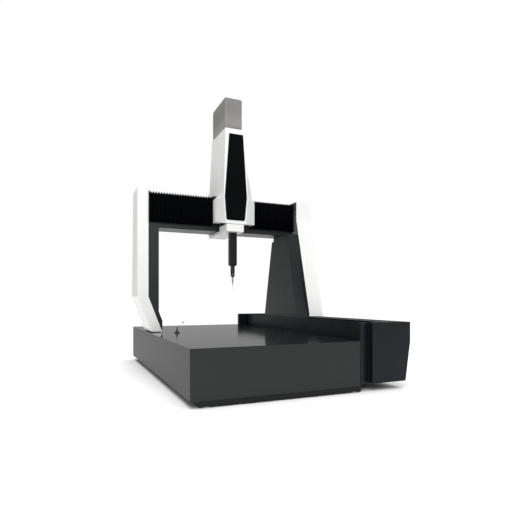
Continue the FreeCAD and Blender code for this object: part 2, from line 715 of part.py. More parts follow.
def guide_caps():
    """The nose with its recess beside the granite, and the plain rear cap."""
    nose = cover_cap("nose", (as_size(0), WAY_Y[0]))
    left = s.table_width - s.nose_depth
    edge = s.table_width + s.nose_gap
    recess = [(left, -s.nose_depth), (edge, -s.nose_depth), (edge, s.nose_recess),
              (edge - s.cover_corner, s.nose_recess), (cover_left(), s.cover_wall), (left, s.cover_wall)]
    pocket(nose, "XY", recess, -s.cover_bottom - s.nose_depth, s.cover_top + s.nose_depth)
    rounded(nose, "Z", s.cover_wall, lambda middle: near(middle.x, edge) and near(middle.y, 0))
    cap_hollow(nose, (s.cover_wall, WAY_Y[0]))
    node("guide_cover_nose", nose)
    rear = cover_cap("rear_cap", (WAY_Y[1], s.table_depth))
    cap_hollow(rear, (WAY_Y[1], s.table_depth - s.cover_wall))
    node("guide_cover_rear_cap", rear)


def guide_slot():
    """What closes the slot in the cover's top: the inner wall, the steel band and the brushes."""
    node("guide_inner_wall", block("guide_inner_wall", WALL_X, WAY_Y, (WAY_TOP, s.cover_top)))
    half = s.band_width / 2
    node("guide_band", block("guide_band", (COLUMN_MIDDLE - half, COLUMN_MIDDLE + half), WAY_Y, BAND_Z))
    brush_z = (s.cover_top - s.seal_sheet * 2, s.cover_top - s.seal_sheet)
    left = block("brush", (WALL_X[1], COLUMN_X[0] - s.seal_gap), WAY_Y, brush_z)
    right = block("brush", (COLUMN_X[1] + s.seal_gap, SLOT_RIGHT), WAY_Y,
                  (s.cover_top - s.seal_sheet, s.cover_top))
    node("slot_brushes", grouped("slot_brushes", [left, right]))


# ---------------------------------------------------------------- bridge, right side
def bridge_shoe():
    """A C-shaped casting that holds the guide beam from above, from its right and from below."""
    top_face = WAY_TOP + s.air_gap + s.pad_thickness
    low_face = WAY_BOTTOM - s.air_gap - s.pad_thickness
    hook = WAY_RIGHT - s.shoe_hook
    points = [(COLUMN_X[0], top_face), (FLANGE_X[0], top_face), (FLANGE_X[0], low_face), (hook, low_face),
              (hook, low_face - s.shoe_plate), (FLANGE_X[1], low_face - s.shoe_plate),
              (FLANGE_X[1], s.column_foot), (COLUMN_X[0], s.column_foot)]
    shoe = make_body("shoe")
    pad(shoe, "XZ", points, s.column_front_foot, s.column_back_foot)
    node("bridge_shoe", shoe)


def bridge_air_bearings():
    """Round pads between the shoe and the guide beam, and under the left column's foot."""
    ends = (s.column_front_foot + s.pad_radius * 2, s.column_back_foot - s.pad_radius * 2)
    middle = (ends[0] + ends[1]) / 2
    pads = []
    for y in (ends[0], middle, ends[1]):
        start = (COLUMN_MIDDLE, y, WAY_TOP + s.air_gap)
        pads.append(rod("top_pad", "Z", start, s.pad_radius, s.pad_thickness))
    for y in ends:
        for z in (WAY_TOP - s.pad_radius, WAY_BOTTOM + s.pad_radius):
            pads.append(rod("side_pad", "X", (WAY_RIGHT + s.air_gap, y, z), s.pad_radius, s.pad_thickness))
        start = (WAY_RIGHT - s.pad_radius, y, WAY_BOTTOM - s.air_gap - s.pad_thickness)
        pads.append(rod("low_pad", "Z", start, s.pad_radius, s.pad_thickness))
    foot_y = left_foot_y()
    for y in (foot_y[0] + s.pad_radius, foot_y[1] - s.pad_radius):
        start = ((s.left_heel_in + s.left_foot_end) / 2, y, s.air_gap)
        pads.append(rod("foot_pad", "Z", start, s.pad_radius, s.pad_thickness))
    node("bridge_air_bearings", grouped("bridge_air_bearings", pads))


def y_drive():
    """The motor on the shoe's rear end, its friction roller and the scale's reading head."""
    scale_top = WAY_TOP - s.pad_radius * 2 - s.roller_radius
    bar_top = scale_top - s.scale_height - s.pad_radius
    axis_x = WAY_RIGHT + s.bar_depth + s.roller_radius + s.roller_gap
    y = (s.column_back_foot, s.column_back_foot + s.motor_size)
    axis_y = (y[0] + y[1]) / 2
    low = bar_top + s.bar_height
    x = (FLANGE_X[0], FLANGE_X[0] + s.motor_size)
    plate_left = axis_x - s.roller_radius + s.bar_depth / 2
    plate = block("motor_plate", (plate_left, x[1]), y, (low, low + s.bar_depth))
    motor = block("motor_block", x, y, (low, low + s.motor_length))
    bore = rod("motor_bore", "Z", (axis_x, axis_y, low), s.shaft_radius + s.fit_gap, s.bar_depth * 2)
    node("y_motor", bored("y_motor", fused("y_motor_body", [plate, motor]), [bore]))
    wheel = rod("wheel", "Z", (axis_x, axis_y, bar_top - s.bar_height), s.roller_radius, s.bar_height)
    shaft = rod("shaft", "Z", (axis_x, axis_y, bar_top - s.bar_height), s.shaft_radius,
                low + s.bar_depth * 2 - bar_top + s.bar_height)
    node("y_drive_roller", fused("y_drive_roller", [wheel, shaft]))
    head = block("y_read_head", (WAY_RIGHT + s.scale_sheet + s.air_gap, FLANGE_X[1]),
                 (s.column_front_foot - s.motor_size / 2, s.column_front_foot),
                 (scale_top - s.scale_height * 2, scale_top + s.scale_height))
    node("y_read_head", head)


def right_column():
    """An A-shaped ribbed casting, open towards its cover, with a tunnel for the cover band."""
    head_low = s.beam_bottom - s.column_head
    front = (s.column_front_foot, s.column_front_knee, s.column_front_head)
    back = (s.column_back_foot, s.column_back_head)
    head = (front[2] + s.column_head_front, back[1] - s.column_head_step)
    points = [(front[0], s.column_foot), (front[0], s.column_toe), (front[1], s.column_knee),
              (front[2], head_low), (head[0], head_low), (head[0], s.beam_bottom), (head[1], s.beam_bottom),
              (head[1], head_low), (back[1], head_low), (back[0], s.column_toe), (back[0], s.column_foot)]
    column = make_body("column")
    pad(column, "YZ", points, COLUMN_X[0], COLUMN_X[1])
    rounded(column, "X", s.column_round, lambda middle: near(middle.z, s.column_knee))
    half = s.band_width / 2 + s.band_clearance
    tunnel = rectangle((COLUMN_MIDDLE - half, COLUMN_MIDDLE + half),
                       (BAND_Z[0] - s.band_clearance, BAND_Z[1] + s.band_clearance))
    pocket(column, "XZ", tunnel, front[0] - s.column_toe, back[0] + s.column_toe)
    low, top = BAND_Z[1] + s.band_clearance, head_low
    step = (top - low) / 3
    for number in range(3):
        z = (low + step * number + s.column_wall, low + step * (number + 1) - s.column_wall / 2)
        points = [(column_front(z[0]) + s.column_wall, z[0]), (column_front(z[1]) + s.column_wall, z[1]),
                  (column_back(z[1]) - s.column_wall, z[1]), (column_back(z[0]) - s.column_wall, z[0])]
        pocket(column, "YZ", points, COLUMN_X[0] + s.column_wall, COLUMN_X[1] + s.column_wall)
    node("right_column", column)


def between(z, low, high):
    """The Y at height z on the straight edge from one (y, z) point to another."""
    return low[0] + (high[0] - low[0]) * ((z - low[1]) / (high[1] - low[1]))


def column_front(z):
    """The right column's front edge at height z."""
    knee = (s.column_front_knee, s.column_knee)
    if z.value < s.column_knee.value:
        return between(z, (s.column_front_foot, s.column_toe), knee)
    return between(z, knee, (s.column_front_head, s.beam_bottom - s.column_head))


def column_back(z):
    """The right column's back edge at height z."""
    return between(z, (s.column_back_foot, s.column_toe), (s.column_back_head, s.beam_bottom - s.column_head))


def right_column_cover():
    """The white moulded cover on the column's outer side, an open shell with rounded edges."""
    foot = s.cover_top + s.outer_gap
    x = (COLUMN_X[1], COLUMN_X[1] + s.outer_reach)

    def shape(inset):
        front, back = s.outer_front_head + inset, s.outer_back_head - inset
        return [(s.outer_front_foot + inset, foot), (front, s.outer_bend), (front, s.outer_top - inset),
                (back, s.outer_top - inset), (back, s.outer_bend), (s.column_back_foot - inset, foot)]

    cover = make_body("outer_cover")
    wall = s.shell_wall
    pad(cover, "YZ", shape(as_size(0)), x[0], x[1])
    round_outer_rim(cover, x[1], s.outer_round)
    cutter = make_body("outer_hollow")
    pad(cutter, "YZ", shape(wall), x[0] - wall, x[1] - wall)
    round_outer_rim(cutter, x[1] - wall, s.outer_round - wall)
    node("right_column_cover", bored("right_column_cover", cover, [cutter]))


def round_outer_rim(body, x, radius):
    """Round the edges that lie in the plane of one X, apart from the lowest."""
    tip = body.Tip
    names = []
    lowest = tip.Shape.BoundBox.ZMin
    for number, edge in enumerate(tip.Shape.Edges, start=1):
        middle = edge.CenterOfMass
        if all(near(vertex.X, x) for vertex in edge.Vertexes) and middle.z > lowest + 1:
            names.append(f"Edge{number}")
    feature = body.newObject("PartDesign::Fillet", "Fillet")
    feature.Base = (tip, names)
    bind(feature, "Radius", radius)
    DOC.recompute()


# ---------------------------------------------------------------- bridge, left side
def left_column():
    """The dark inner column, with the bracket that holds the beam's end."""
    y = (s.left_front + s.left_inset, BEAM_Y[1])
    points = [(0, s.left_bend), (s.left_heel_in, s.left_foot_top), (s.left_foot_end, s.left_foot_top),
              (s.left_foot_end, s.left_heel), (s.left_width, s.left_ankle), (s.left_width, s.beam_bottom),
              (0, s.beam_bottom)]
    column = make_body("inner_column")
    pad(column, "XZ", points, y[0], y[1])
    wall = s.column_wall
    middle = (s.left_bend + s.beam_bottom) / 2
    for z in ((s.left_bend + wall, middle - wall / 2), (middle + wall / 2, s.beam_bottom - wall)):
        pocket(column, "YZ", rectangle((y[0] + wall, y[1] - wall), z), -wall, s.left_width - wall)
    bracket = block("bracket", (0, s.bracket_width), (BEAM_Y[0] - s.bracket_sheet, BEAM_Y[0]),
                    (s.beam_bottom - s.bracket_low, s.beam_bottom + s.bracket_high))
    foot_y = left_foot_y()
    foot = block("left_foot", (s.left_heel_in, s.left_foot_end), foot_y,
                 (s.air_gap + s.pad_thickness, s.left_foot_top))
    node("left_column", fused("left_column", [column, bracket, foot]))


def left_foot_y():
    """How far the left column's foot reaches along the table."""
    return (s.left_front + s.left_inset, s.left_back_foot - s.left_inset * 2)


def left_column_cover():
    """The white cover of the left column: a bent shell whose back widens towards the foot."""
    reach, wall = s.left_reach, s.shell_wall
    foot = s.foot_gap
    slant = [(-reach, s.left_bend), (s.left_foot_in, foot)]
    inner = [(s.left_foot_in + reach, foot), (as_size(0), s.left_bend)]
    shell = make_body("left_shell")
    pad(shell, "XZ", [(-reach, s.outer_top)] + slant + inner + [(0, s.outer_top)],
        s.left_front, s.left_back_foot)
    hollow = make_body("left_hollow")
    beyond = s.left_foot_end + reach
    points = [(-reach + wall, s.outer_top - wall), (-reach + wall, s.left_bend),
              (s.left_foot_in + wall, foot - wall), (beyond, foot - wall), (beyond, s.left_bend),
              (0, s.left_bend), (0, s.outer_top - wall)]
    pad(hollow, "XZ", points, s.left_front + wall, s.left_back_foot)

    def back_wedge(name, inset):
        top = s.outer_top + reach
        wedge = make_body(name)
        points = [(s.left_back_top - inset, top), (s.left_back_top - inset, s.outer_top),
                  (s.left_back_bend - inset, s.left_bend), (s.left_back_foot - inset, foot - wall * 2),
                  (s.left_back_foot + reach, foot - wall * 2), (s.left_back_foot + reach, top)]
        pad(wedge, "YZ", points, -reach * 2, beyond + reach)
        return wedge

    outside = bored("left_outside", shell, [back_wedge("back_cut", as_size(0))])
    inside = bored("left_inside", hollow, [back_wedge("back_cut_inner", wall)])
    node("left_column_cover", bored("left_column_cover", outside, [inside]))


# ---------------------------------------------------------------- cross beam
def cross_beam():
    """The closed hollow beam on both columns, with its scale and its drive bar."""
    wall = s.beam_wall
    beam = block("beam", BEAM_X, BEAM_Y, BEAM_Z)
    core = block("beam_core", *[(low + wall, high - wall) for low, high in (BEAM_X, BEAM_Y, BEAM_Z)])
    node("cross_beam", bored("cross_beam", beam, [core]))
    run = (BEAM_X[0] + s.bellows_frame, BEAM_X[1] - s.bellows_frame)
    top = BEAM_Z[1]
    scale_y = (BEAM_Y[0] + s.scale_height, BEAM_Y[0] + s.scale_height * 2)
    node("x_scale", block("x_scale", run, scale_y, (top, top + s.scale_sheet)))
    node("x_drive_bar", block("x_drive_bar", run, (BEAM_Y[1], BEAM_Y[1] + s.bar_depth), X_BAR_Z))


def pleat_section(inset):
    """The bellows' U-shaped section, taken in from the tips of the pleats."""
    front, back, top = s.bellows_front + inset, s.bellows_back - inset, BELLOWS_Z[1] - inset
    low, cloth = BELLOWS_Z[0], s.bellows_cloth
    return [(front, low), (front, top), (back, top), (back, low), (back - cloth, low),
            (back - cloth, top - cloth), (front + cloth, top - cloth), (front + cloth, low)]


def bellows(name, x):
    """Pleated cloth from one end frame to the other: one folded pleat, repeated along the beam."""
    pleats = round((x[1] - x[0]).value / s.pleat.value)
    pitch = (x[1] - x[0]) / pleats
    body = make_body(name + "_cloth")
    sections = [(pleat_section(s.bellows_depth), x[0]), (pleat_section(as_size(0)), x[0] + pitch / 2),
                (pleat_section(s.bellows_depth), x[0] + pitch)]
    first = loft(body, "Additive", "YZ", sections)
    pattern = body.newObject("PartDesign::LinearPattern", "Pleats")
    pattern.Originals = [first]
    pattern.Direction = (origin_part(body, "X_Axis"), [""])
    pattern.Occurrences = pleats
    bind(pattern, "Length", pitch * (pleats - 1))
    body.Tip = pattern
    DOC.recompute()
    node(name, body)


def bellows_frame(name, low):
    """A flat U-shaped frame that a bellows ends on, clear of the beam."""
    clear = s.tray_gap
    body = make_body(name)
    front, back = s.bellows_front, s.bellows_back
    bottom, top = BELLOWS_Z
    points = [(front, bottom), (front, top), (back, top), (back, bottom),
              (BEAM_Y[1] + s.bar_depth + clear, bottom), (BEAM_Y[1] + s.bar_depth + clear, BEAM_Z[1] + clear),
              (BEAM_Y[0] - clear, BEAM_Z[1] + clear), (BEAM_Y[0] - clear, bottom)]
    pad(body, "YZ", points, low, low + s.bellows_frame)
    return body


def beam_bellows():
    """Both bellows, with the frames on the columns and on the carriage."""
    frame = s.bellows_frame
    ends = [bellows_frame("end_frame", BEAM_X[0]), bellows_frame("end_frame", BEAM_X[1] - frame)]
    node("bellows_end_frames", grouped("bellows_end_frames", ends))
    moving = [bellows_frame("moving_frame", s.carriage_left),
              bellows_frame("moving_frame", s.carriage_right - frame)]
    node("carriage_bellows_frames", grouped("carriage_bellows_frames", moving))
    bellows("bellows_left", (BEAM_X[0] + frame, s.carriage_left))
    bellows("bellows_right", (s.carriage_right, BEAM_X[1] - frame))


# ---------------------------------------------------------------- carriage
def carriage_frame():
    """A closed ring round the beam that carries the air bearings and the Z mast."""
    x = (s.ring_left, s.ring_right)
    ring = slab("ring", x, RING_OUTER_Y, RING_OUTER_Z)
    pocket(ring, "YZ", rectangle(RING_Y, RING_Z), x[0] - s.ring_gap, x[1] + s.ring_gap)
    node("carriage_frame", ring)


def x_air_bearings():
    """Pads in front of, over, behind and under the beam, with their studs."""
    stud = s.ring_gap - s.air_gap - s.pad_thickness
    left, right = s.ring_left + s.pad_radius, s.ring_right - s.pad_radius - s.pad_thickness
    middle = (left + right) / 2
    levels = (BEAM_Z[0] + s.pad_radius * 2, BEAM_Z[1] - s.pad_radius * 2)
    pads = []
    for x in (left, right):
        for z in levels:
            front = BEAM_Y[0] - s.air_gap - s.pad_thickness
            plate = rod("pad", "Y", (x, front, z), s.pad_radius, s.pad_thickness)
            pin = rod("stud", "Y", (x, RING_Y[0], z), s.shaft_radius, stud)
            pads.append(fused("front_bearing", [plate, pin]))
        y = BEAM_Y[0] + s.pad_radius * 2
        plate = rod("pad", "Z", (x, y, BEAM_Z[1] + s.air_gap), s.pad_radius, s.pad_thickness)
        pin = rod("stud", "Z", (x, y, BEAM_Z[1] + s.air_gap + s.pad_thickness), s.shaft_radius, stud)
        pads.append(fused("top_bearing", [plate, pin]))
    for z in levels:
        plate = rod("pad", "Y", (middle, BEAM_Y[1] + s.air_gap, z), s.pad_radius, s.pad_thickness)
        pin = rod("stud", "Y", (middle, BEAM_Y[1] + s.air_gap + s.pad_thickness, z), s.shaft_radius, stud)
        pads.append(fused("rear_bearing", [plate, pin]))
    y = (BEAM_Y[0] + BEAM_Y[1]) / 2
    pads.append(rod("low_bearing", "Z", (middle, y, RING_Z[0]), s.pad_radius, s.slim_pad))
    node("x_air_bearings", grouped("x_air_bearings", pads))


def x_drive():
    """The motor on the ring's side, its friction roller on the bar, and both reading heads."""
    x, y = X_ROLLER
    half = s.x_motor_size / 2
    low = X_BAR_Z[1] + s.tray_sheet
    motor = block("x_motor_block", (s.ring_right, s.ring_right + s.x_motor_length), (y - half, y + half),
                  (low, low + s.x_motor_height))
    bore = rod("x_motor_bore", "Z", (x, y, low), s.shaft_radius + s.fit_gap, s.bar_depth)
    node("x_motor", bored("x_motor", motor, [bore]))
    wheel = rod("x_wheel", "Z", (x, y, X_BAR_Z[0]), s.x_roller_radius, s.bar_height)
    shaft = rod("x_shaft", "Z", (x, y, X_BAR_Z[0]), s.shaft_radius, low + s.bar_depth - X_BAR_Z[0])
    node("x_drive_roller", fused("x_drive_roller", [wheel, shaft]))
    head_y = (BEAM_Y[0] + s.scale_height - s.head_margin, BEAM_Y[0] + s.scale_height * 2 + s.head_margin)
    x_head = block("x_head", (s.ring_right - s.pad_thickness, s.ring_right), head_y,
                   (BEAM_Z[1] + s.scale_sheet + s.air_gap, RING_Z[1]))
    guide_top = s.guide_high + s.guide_height
    z_head = block("z_head", (s.ram_x - GUIDE_REACH - s.guide_wall, RAM_X[0] - s.scale_sheet - s.air_gap),
                   (RAM_Y[1] - s.scale_height * 2, RAM_Y[1]), (guide_top, guide_top + s.pad_thickness))
    node("carriage_read_heads", grouped("carriage_read_heads", [x_head, z_head]))


def front_section(inset):
    """The housing's front outline: narrow at the top, widest at the waist."""
    chin, waist = s.housing_chin, s.housing_waist
    return [(s.tower_left + inset, s.housing_top - inset), (s.tower_right - inset, s.housing_top - inset),
            (s.waist_right - inset, FLANK_TOP), (s.waist_right - inset, waist),
            (s.waist_right - s.chin_inset - inset, chin + inset),
            (s.waist_left + s.chin_inset + inset, chin + inset),
            (s.waist_left + inset, waist), (s.waist_left + inset, FLANK_TOP)]


def wing_section(inset):
    """The housing's outline where its wings reach the bellows."""
    waist, wing = s.housing_waist, s.housing_wing
    return [(s.tower_left + inset, s.housing_top - inset), (s.tower_right - inset, s.housing_top - inset),
            (s.carriage_right - s.pleat - inset, FLANK_TOP), (s.carriage_right - inset, waist),
            (s.carriage_right - inset, wing + inset), (s.carriage_left + inset, wing + inset),
            (s.carriage_left + inset, waist), (s.waist_left + inset, FLANK_TOP)]


def housing_hull(name, inset):
    """The housing's outer form, or with an inset its hollow."""
    hull = make_body(name)
    low, back = s.housing_front + inset, s.bellows_front - inset
    loft(hull, "Additive", "XZ", [(front_section(inset), low), (wing_section(inset), s.housing_shoulder),
                                  (wing_section(inset), back)])
    foot = TOWER_FOOT - inset
    tower = [(s.housing_shoulder, foot), (s.housing_shoulder, s.housing_top - inset),
             (s.tower_back_top - inset, s.housing_top - inset), (s.tower_back - inset, TOWER_BEND),
             (s.tower_back - inset, foot)]
    pad(hull, "YZ", tower, s.tower_left + inset, s.tower_right - inset)
    return hull


def carriage_housing():
    """The white moulded housing: a faceted shell with windows for the beam's ring and for the ram."""
    wall = s.housing_wall
    outer = housing_hull("housing_outer", as_size(0))
    inner = housing_hull("housing_inner", wall)
    behind = (s.bellows_front - wall * 2, s.bellows_front + wall)
    window = block("beam_window", (s.tower_left + wall, s.tower_right - wall), behind,
                   (s.housing_wing + wall, TOWER_FOOT))
    opening = block("bellows_window", (s.carriage_left + wall, s.carriage_right - wall), behind,
                    (s.housing_wing + wall, s.housing_waist))
    throat = block("throat", (s.tray_left + s.cover_wall, s.tray_right - s.cover_wall),
                   (s.housing_front + wall, s.bellows_front + wall),
                   (s.housing_chin - wall, s.housing_wing + wall * 2))
    box = (s.box_sheet, s.box_left, s.box_right, s.box_front, s.box_back)
    collar = block("collar", (box[1] + box[0], box[2] - box[0]), (box[3] + box[0], box[4] - box[0]),
                   (s.housing_top - wall * 2, s.housing_top + wall))
    notch = block("ring_notch", (s.ring_left - s.tray_gap, s.ring_right + s.tray_gap),
                  (s.tower_back - wall * 2, s.tower_back + wall),
                  (TOWER_FOOT - wall, RING_OUTER_Z[1] + s.tray_gap))
    cuts = [inner, window, opening, throat, collar, notch]
    node("carriage_housing", bored("carriage_housing", outer, cuts))


def front_panel():
    """The black panel on the housing's front, a long hexagon."""
    left, right = s.waist_left, s.waist_right
    points = [(left + s.panel_top_left, s.panel_top), (right - s.panel_top_right, s.panel_top),
              (right - s.panel_rim, s.housing_waist), (right - s.panel_low_right, s.panel_bottom),
              (left + s.panel_low_left, s.panel_bottom), (left + s.panel_rim, s.housing_waist)]
    panel = make_body("panel")
    pad(panel, "XZ", points, s.housing_front - s.panel_sheet, s.housing_front)
    node("front_panel", panel)


def underbeam_cover():
    """A tray under the beam, its front raised to the housing, with a window for the ram."""
    x, sheet = (s.tray_left, s.tray_right), s.tray_sheet
    y = (s.housing_front, REAR_Y)
    tray = slab("tray", x, y, (s.tray_bottom, s.tray_lip))
    rounded(tray, "Z", s.tray_round, lambda middle: near(middle.y, s.housing_front))
    pocket(tray, "XY", rectangle((x[0] + sheet, x[1] - sheet), (y[0] + s.tray_front, y[1] - sheet)),
           s.tray_bottom + sheet, s.tray_lip + sheet)
    behind = rectangle((s.bellows_front, y[1] + sheet), (s.beam_bottom - s.tray_gap, s.tray_lip + sheet))
    pocket(tray, "YZ", behind, x[0] - sheet, x[1] + sheet)
    gap = s.window_gap
    pocket(tray, "XY", rectangle((RAM_X[0] - gap, RAM_X[1] + gap), (RAM_Y[0] - gap, RAM_Y[1] + gap)),
           s.tray_bottom - sheet, s.tray_bottom + sheet * 2)
    node("underbeam_cover", tray)


def carriage_rear_cover():
    """A saddle over the beam and down its back, deeper in the middle, where the ring needs room."""
    wall = s.shell_wall
    x = (s.carriage_left + s.bellows_frame, s.carriage_right - s.bellows_frame)
    back, low, top = s.bellows_back, BELLOWS_Z[0], TOWER_FOOT
    cover = make_body("rear_cover")
    pad(cover, "YZ", [(s.bellows_front, top), (back, top), (back, low), (back - wall, low),
                      (back - wall, top - wall), (s.bellows_front, top - wall)], x[0], x[1])
    hump_low = s.beam_bottom - s.tray_gap
    hump = slab("hump", (s.tower_left, s.tower_right), (s.tower_back, REAR_Y), (hump_low, TOWER_BEND))
    rounded(hump, "Z", s.box_round, lambda middle: near(middle.y, REAR_Y))
    inner_x = (s.tower_left + wall, s.tower_right - wall)
    hollow = block("hump_hollow", inner_x, (s.bellows_front - wall, REAR_Y - wall),
                   (hump_low + wall, TOWER_BEND - wall))
    floor = block("hump_floor", (s.tray_left, s.tray_right), (s.bellows_front, REAR_Y - wall),
                  (hump_low - wall, hump_low + wall * 2))
    inside = block("saddle_inside", x, (s.bellows_front, back - wall), (low, top - wall))
    shell = fused("rear_shell", [cover, hump])
    node("carriage_rear_cover", bored("carriage_rear_cover", shell, [hollow, floor, inside]))


def z_column_cover():
    """The tall grey cover over the ram's upper end, closed on top."""
    sheet = s.box_sheet
    x, y = (s.box_left, s.box_right), (s.box_front, s.box_back)
    cover = slab("column_box", x, y, (s.housing_top, s.box_top))
    rounded(cover, "Z", s.box_round)
    inner = rectangle((x[0] + sheet, x[1] - sheet), (y[0] + sheet, y[1] - sheet))
    pocket(cover, "XY", inner, s.housing_top - sheet, s.box_top - sheet)
    node("z_column_cover", cover)


# ---------------------------------------------------------------- Z axis inside the carriage
def z_mast():
    """The upright plate on the ring's front, with the idler's block and the balance pulley's eye."""
    notch_x = s.mast_left + s.mast_notch
    notch_z = s.mast_top - s.mast_notch_drop
    plate = make_body("mast")
    points = [(s.mast_left, s.mast_bottom), (s.mast_right, s.mast_bottom), (s.mast_right, s.mast_top),
              (notch_x, s.mast_top), (notch_x, notch_z), (s.mast_left, notch_z)]
    pad(plate, "XZ", points, MAST_Y[0], MAST_Y[1])
    half = s.z_motor_size / 2
    idler_x = s.mast_right - s.pad_thickness
    idler = block("idler_block", (idler_x - s.pad_thickness, s.mast_right), (MAST_Y[1], s.belt_y + half),
                  (s.belt_low - half, s.belt_low + half))
    radius = s.shaft_radius + s.fit_gap
    idler_bore = rod("idler_bore", "X", (idler_x, s.belt_y, s.belt_low), radius, s.pad_thickness)
    balance_bore = rod("balance_bore", "X", (notch_x, s.balance_y, s.balance_z), radius, s.axle_depth)
    node("z_mast", bored("z_mast", fused("z_mast_blank", [plate, idler]), [idler_bore, balance_bore]))


def ram_guides():
    """Two square rings round the ram, and four air bearings in each."""
    rings, pads = [], []
    inner, outer = GUIDE_REACH, GUIDE_REACH + s.guide_wall
    for low in (s.guide_low, s.guide_high):
        z = (low, low + s.guide_height)
        ring = slab("guide_ring", (s.ram_x - outer, s.ram_x + outer), (s.ram_y - outer, MAST_Y[0]), z)
        pocket(ring, "XY", rectangle((s.ram_x - inner, s.ram_x + inner), (s.ram_y - inner, s.ram_y + inner)),
               low - s.guide_wall, z[1] + s.guide_wall)
        rings.append(ring)
        pads += ring_pads(low + s.guide_height / 2)
    node("ram_guides", grouped("ram_guides", rings))
    node("ram_air_bearings", grouped("ram_air_bearings", pads))


def ring_pads(z):
    """The four bearings of one ring, each a pad and its stud."""
    face = s.ram_side / 2 + s.air_gap
    back = face + s.guide_pad
    pads = []
    for sign in (-1, 1):
        pad_low = face if sign > 0 else -back
        stud_low = back if sign > 0 else -GUIDE_REACH
        for axis in "XY":
            def start(offset):
                return (s.ram_x + offset, s.ram_y, z) if axis == "X" else (s.ram_x, s.ram_y + offset, z)
            plate = rod("ram_pad", axis, start(pad_low), s.guide_pad_radius, s.guide_pad)
            stud = rod("ram_stud", axis, start(stud_low), s.shaft_radius, s.guide_stud)
            pads.append(fused("ram_bearing", [plate, stud]))
    return pads


def z_drive():
    """The Z motor, both pulleys and the belt that runs round them."""
    y, width, radius = s.belt_y, s.belt_width, s.belt_radius
    x = (s.belt_x - width / 2, s.belt_x + width / 2)
    half = s.z_motor_size / 2
    motor = block("z_motor_block", (s.mast_right - s.z_motor_length, s.mast_right), (y - half, y + half),
                  (s.belt_high - half, s.belt_high + half))
    bore = rod("z_motor_bore", "X", (s.mast_right - s.z_motor_bore, y, s.belt_high),
               s.shaft_radius + s.fit_gap, s.z_motor_bore)
    node("z_motor", bored("z_motor", motor, [bore]))
    wheel = rod("z_wheel", "X", (x[0], y, s.belt_high), radius, width)
    shaft = rod("z_shaft", "X", (s.mast_right - s.z_motor_bore, y, s.belt_high), s.shaft_radius,
                x[1] - s.mast_right + s.z_motor_bore)
    node("z_drive_pulley", fused("z_drive_pulley", [wheel, shaft]))
    idler = rod("idler_wheel", "X", (x[0], y, s.belt_low), radius, width)
    pin = rod("idler_pin", "X", (s.mast_right - s.pad_thickness, y, s.belt_low), s.shaft_radius,
              x[1] - s.mast_right + s.pad_thickness)
    node("z_idler_pulley", fused("z_idler_pulley", [idler, pin]))
    node("z_belt", belt_loop("z_belt", x, radius + s.fit_gap, radius + s.fit_gap + s.belt_sheet))


def belt_loop(name, x, inner, outer):
    """A flat belt round both pulleys: a racetrack with a smaller one taken out."""
    def track(radius):
        low = rod("track_low", "X", (x[0], s.belt_y, s.belt_low), radius, s.belt_width)
        high = rod("track_high", "X", (x[0], s.belt_y, s.belt_high), radius, s.belt_width)
        middle = block("track", x, (s.belt_y - radius, s.belt_y + radius), (s.belt_low, s.belt_high))
        return fused("racetrack", [low, high, middle])
    return bored(name, track(outer), [track(inner)])


def balance():
    """The ram's counterbalance: a long air cylinder, a cable and the pulley over which it runs."""
    x, y, z = s.balance_x, s.balance_y, s.balance_z
    back, front = y + s.balance_radius, y - s.balance_radius
    floor = RING_Z[1] + s.ring_thickness
    node("balance_cylinder", rod("balance_cylinder", "Z", (x, back, floor), s.cylinder_radius,
                                 s.cylinder_top - floor))
    start = x - s.balance_width / 2
    wheel = rod("balance_wheel", "X", (start, y, z), s.balance_radius - s.cable_radius - s.fit_gap,
                s.balance_width)
    axle = rod("balance_axle", "X", (start, y, z), s.shaft_radius,
               s.mast_left + s.mast_notch + s.axle_depth - start)
    node("balance_pulley", fused("balance_pulley", [wheel, axle]))
    yoke_top = s.ram_top + s.yoke_height
    ram_run = rod("ram_run", "Z", (x, front, yoke_top), s.cable_radius, z - yoke_top)
    cylinder_run = rod("cylinder_run", "Z", (x, back, s.cylinder_top), s.cable_radius, z - s.cylinder_top)
    bend = cable_bend("bend", x, y, z)
    node("balance_cable", fused("balance_cable", [ram_run, cylinder_run, bend]))


def cable_bend(name, x, y, z):
    """The half turn of cable over the pulley."""
    ring = DOC.addObject("Part::Torus", name)
    ring.Placement = FreeCAD.Placement(VECTOR(), FreeCAD.Rotation(*TURNS["X"]))
    seat(ring, (x, y, z))
    bind(ring, "Radius1", s.balance_radius)
    bind(ring, "Radius2", s.cable_radius)
    reach = s.balance_radius * 2
    lower = block("lower_half", (x - reach, x + reach), (y - reach, y + reach), (z - reach, z))
    return bored(name + "_half", ring, [lower])


